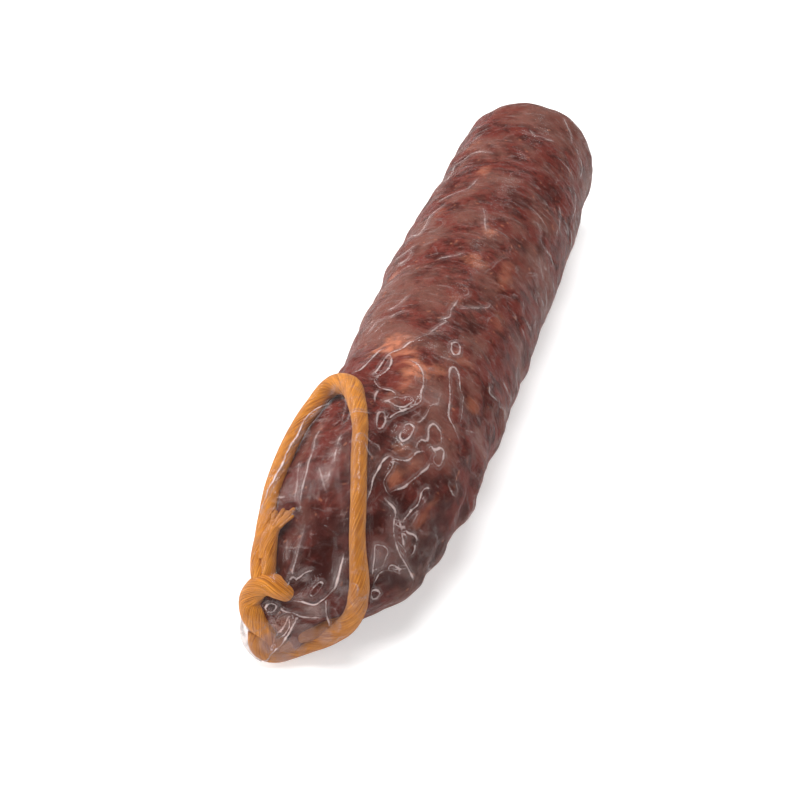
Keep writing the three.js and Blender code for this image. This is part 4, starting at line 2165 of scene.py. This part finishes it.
CREASED = {
    Crease.LINE: (
        ((-47.3, 122), (-46.7, 117), (-44.6, 114), (-40.4, 113), (-36.2, 113), (-35.2, 110)),
        (
            (-47.5, 109), (-45.8, 106), (-42.6, 105), (-39.3, 105), (-37, 103), (-35.2, 98), (-32.8, 95),
            (-31.4, 91), (-29.5, 88), (-27.7, 85),
        ),
        ((-48.2, 107), (-47.3, 103), (-45.8, 100), (-43.8, 99), (-40.6, 101), (-37, 106)),
        ((-48.5, 106), (-50.3, 104), (-51.8, 100), (-52.2, 96), (-52.3, 92), (-53.1, 88), (-54.2, 85)),
        (
            (-56.2, 91), (-55.4, 89), (-54, 86), (-54.3, 83), (-53.2, 80), (-53.4, 76), (-54.8, 77),
            (-56.2, 79), (-56.8, 83), (-56.4, 88), (-56.2, 91),
        ),
        (
            (-41.5, 88), (-41.9, 84), (-43.1, 80), (-45.3, 77), (-48, 75), (-51, 74), (-52.9, 72),
            (-54.7, 74), (-56.6, 77), (-58.6, 81), (-60.4, 83), (-62.3, 84), (-64.4, 84),
        ),
        (
            (-63.8, 88), (-61.3, 90), (-60.1, 88), (-61, 86), (-62.7, 84), (-64.8, 84), (-65.3, 86),
            (-63.8, 88),
        ),
        ((-58.1, 96), (-55.6, 98), (-53.1, 99)),
        ((-27.9, 70), (-26.8, 67), (-28.1, 64), (-30.4, 63), (-31.8, 65), (-30.8, 68), (-27.9, 70)),
        (
            (-52.6, 41), (-50.5, 45), (-47.6, 47), (-43.1, 48), (-42.1, 51), (-40.1, 54), (-38, 57),
            (-36.8, 60), (-36.3, 63), (-37.9, 64), (-40.7, 62), (-43.9, 59), (-47.1, 57), (-50.2, 55),
            (-52.2, 52), (-53.1, 48), (-54.2, 44), (-55.6, 40), (-56.7, 37),
        ),
        (
            (-65, 69), (-64.2, 72), (-62.7, 73), (-61.1, 73), (-60, 71), (-60.4, 68), (-62, 67),
            (-63.4, 67), (-64.4, 68), (-65, 69),
        ),
        ((-69.6, 69), (-71, 66), (-72.6, 65), (-74.3, 65), (-75.7, 64), (-76.6, 60), (-77, 56)),
        ((-69.8, 69), (-69.3, 64), (-68.2, 60), (-66.6, 59), (-65.2, 58), (-63.9, 55)),
        (
            (-76.6, 57), (-75.1, 55), (-73.5, 52), (-71.5, 51), (-70.1, 50), (-68.4, 49), (-66.8, 48),
            (-65.1, 48),
        ),
        (
            (-64.8, 60), (-63.2, 61), (-62.1, 60), (-61.7, 57), (-60.1, 58), (-58.4, 60), (-56.5, 59),
            (-56.6, 55), (-57.4, 52), (-59.4, 49), (-60.5, 48),
        ),
        (
            (-62, 52), (-61.6, 49), (-60.6, 48), (-60.8, 45), (-62, 43), (-63.4, 42), (-64.5, 43),
            (-64.1, 48), (-62.7, 48), (-62, 52),
        ),
        ((-78.8, 45), (-79.4, 41), (-80.3, 36), (-81.4, 30), (-82.1, 23), (-82.7, 17)),
        (
            (-79.1, 39), (-79.6, 35), (-79.9, 31), (-78.9, 26), (-78.8, 22), (-79.6, 20), (-80.6, 17),
            (-81.5, 16), (-82.5, 18),
        ),
        ((-91.5, 18), (-90, 20), (-88.8, 21), (-87.5, 19), (-86.5, 15), (-85.9, 11), (-84.9, 11)),
        ((-87.3, 21), (-86.1, 20), (-85.6, 16), (-84.8, 11)),
        ((-93.5, 16), (-91.7, 11), (-91.3, 6), (-92.8, 4), (-93.8, 8), (-93.5, 16)),
        ((-109, 76), (-106.9, 77), (-105.9, 71)),
        ((-106.7, 47), (-104.7, 49), (-102.7, 49), (-102, 46), (-104.1, 43), (-106.5, 42), (-106.7, 47)),
        ((-104.5, 27), (-106.2, 10), (-106.1, -10)),
        ((-115.7, 75), (-115.6, 55), (-115.2, 35), (-113.6, 11), (-111.2, 7), (-108.3, 3)),
        ((-115.8, 25), (-117.1, -22), (-116.4, -71), (-113.4, -86)),
    ),
    # Painted highlights and glints on creases.
    Crease.BRIGHT: (
        ((-81.9, 65), (-79.5, 67), (-76.9, 70), (-74.3, 71), (-71.9, 72), (-69.7, 71)),
        (
            (-79, 39), (-77.8, 39), (-76, 39), (-74.2, 38), (-72.8, 39), (-71.5, 41), (-70.2, 41),
            (-69.5, 39),
        ),
        (
            (-57.9, 129), (-58.9, 133), (-60.9, 136), (-63.8, 138), (-66.9, 138), (-70.2, 137),
            (-73.3, 137), (-76.8, 136), (-80.1, 134), (-83.6, 133), (-86, 132), (-88.4, 132), (-90.7, 131),
            (-92.4, 132), (-93.7, 132),
        ),
        ((-107.1, 72), (-105.2, 69), (-103.4, 67), (-101.8, 63)),
        ((-113.1, 60), (-111.1, 50), (-109.4, 40), (-108, 28), (-105.5, 30), (-103.2, 32), (-100.8, 35)),
        ((-116.3, 109), (-115.2, 96), (-115.5, 79), (-117.1, 79), (-117.3, 94), (-116.3, 109)),
        ((-114.1, 14), (-115.3, -22), (-115.1, -50), (-113.6, -80), (-112.5, -92)),
    ),
    Crease.TENT: (
        (
            (-78.2, 58), (-78.4, 54), (-78.5, 49), (-79, 46), (-80.5, 43), (-81.8, 39), (-82.9, 33),
            (-83.6, 26), (-83.9, 19), (-84.2, 10), (-84.2, 0),
        ),
        (
            (-90.8, 29), (-89.1, 33), (-87.8, 37), (-86.8, 41), (-85.8, 38), (-85.2, 34), (-85.5, 30),
            (-86.5, 28), (-87.7, 25), (-88.9, 26), (-90.8, 29),
        ),
        ((-101.1, 34), (-98.6, 40), (-95.7, 47), (-93.2, 52)),
    ),
    Crease.STREAK: (
        ((-77.6, 33), (-76, 34), (-74.5, 36), (-73, 36), (-71.6, 35)),
        ((-77.7, 127), (-81.7, 121), (-85.2, 115), (-88.1, 111)),
        ((-106.8, 78), (-102.5, 82), (-97.8, 87), (-92.4, 93)),
        ((-98.2, 102), (-100.6, 99), (-103.5, 94)),
        ((-89, 104), (-84.1, 111), (-78.7, 117), (-71.6, 123), (-64.7, 128)),
        # These three streaks on the tail's lobe are painted highlights.
        ((-78.9, 108), (-80.7, 102), (-82.7, 96), (-83.9, 92)),
        ((-78.8, 98), (-80.8, 96), (-82.8, 94)),
        ((-76.7, 99), (-73.3, 103), (-70.8, 105), (-68.7, 106)),
        ((56.5, 135), (60.5, 129), (73, 136), (74.1, 129), (76.3, 122), (75.4, 114), (74.1, 103)),
        ((45.3, 128), (47.3, 121), (48.6, 115), (49.2, 108), (51.9, 105), (56.4, 103)),
        ((42.4, 120), (40.4, 124), (38, 127), (34, 128), (28.4, 127), (24.2, 128), (30.2, 143)),
        ((18.3, 125), (16.9, 131), (16.2, 137), (16.7, 143)),
        ((16.3, 127), (13.6, 127), (11.8, 131), (11.9, 137)),
        ((-10.2, 111), (-13.3, 113), (-15.3, 117), (-15.8, 122)),
        ((-17.8, 108), (-18.7, 113), (-20.3, 117)),
        ((-19.2, 117), (-20.1, 122), (-20.9, 127), (-23.3, 130), (-24.7, 134)),
        ((-12.9, 74), (-11.3, 70), (-8.9, 64), (-5.9, 58), (-2.7, 57)),
        ((-20, 83), (-18.1, 78), (-15, 79), (-11.6, 78), (-9.3, 78)),
        ((8.9, 104), (10.4, 97), (11.7, 91), (13.7, 88)),
        ((39.5, 90), (35.2, 86), (30.2, 83), (27, 80)),
        ((45.5, 50), (42.8, 45), (38.9, 42), (37.5, 36), (39, 29), (38.6, 22), (37.4, 17)),
        ((63, 37), (59.3, 32), (51.7, 32), (47.8, 29)),
        ((29.8, 37), (28.3, 30), (27.6, 24)),
        ((8.2, 36), (4.9, 34), (3.8, 30), (3.6, 23), (5.1, 15)),
        ((108.5, 64), (105.8, 58), (103.1, 52), (98.1, 49)),
        ((98.2, 44), (96.5, 36), (95.1, 29), (89.9, 27)),
        ((91.6, 83), (89.1, 78), (90.1, 73), (90, 68), (91.4, 62)),
        ((-24.2, 25), (-24, 19), (-24.2, 13), (-21.6, 2)),
        ((-11.4, 14), (-16, 12), (-14.8, 1), (-14.8, -9)),
        ((79.8, 28), (76.2, 24), (69.9, 22), (65.9, 19)),
        ((96.5, 144), (98.4, 139), (97.4, 130), (98, 123)),
        ((-27.1, 85), (-23.1, 82), (-19.7, 78)),
    ),
}
PATCHES = tuple(Patch(*row, tone) for tone, rows in TONED.items() for row in rows)
FOLDS = tuple(Fold(kind, spots) for kind, routes in CREASED.items() for spots in routes)
SKINS = (
    Blot((-117.3, -7), 4.5 * MM, 0.8),
    Blot((-115.4, -83), 4.2 * MM, 0.8),
    Blot((-113.4, -50), 4.0 * MM, 0.55),
    Blot((-111.3, -73), 3.5 * MM, 0.45),
    Blot((-111.9, -28), 3.5 * MM, 0.45),
    Blot((-109.1, 16), 3.8 * MM, 0.45),
    Blot((-107.1, -22), 3.0 * MM, 0.35),
)
# Milky spots of the film; the two at (-79.5, 101) and (-74, 103) are painted highlights.
MISTS_AND_HIGHLIGHTS = (
    Blot((-88, 33), 3.8 * MM, 2.6),
    Blot((-79.5, 101), 3.6 * MM, 1.8),
    Blot((-74, 103), 3.2 * MM, 1.3),
    Blot((-104, 68), 3.0 * MM, 1.3),
    Blot((-50, 66), 5.0 * MM, 0.9),
    Blot((-62, 48), 3.0 * MM, 1.3),
    Blot((-85, 113), 5.5 * MM, 1.0),
    Blot((-94, 103), 4.0 * MM, 0.5),
    Blot((-84.5, 12), 2.6 * MM, 1.4),
)


def main() -> None:
    logging.basicConfig(level=logging.INFO, format="%(name)s: %(message)s")
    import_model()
    Studio().build()
    stick = Stick()
    sausage = Sausage(stick, PATCHES).build()
    twine = Twine(stick).build()
    Film(stick, FOLDS, SKINS, MISTS_AND_HIGHLIGHTS).build([sausage, *twine])
    FilmFlap().build()


if __name__ == "__main__":
    main()
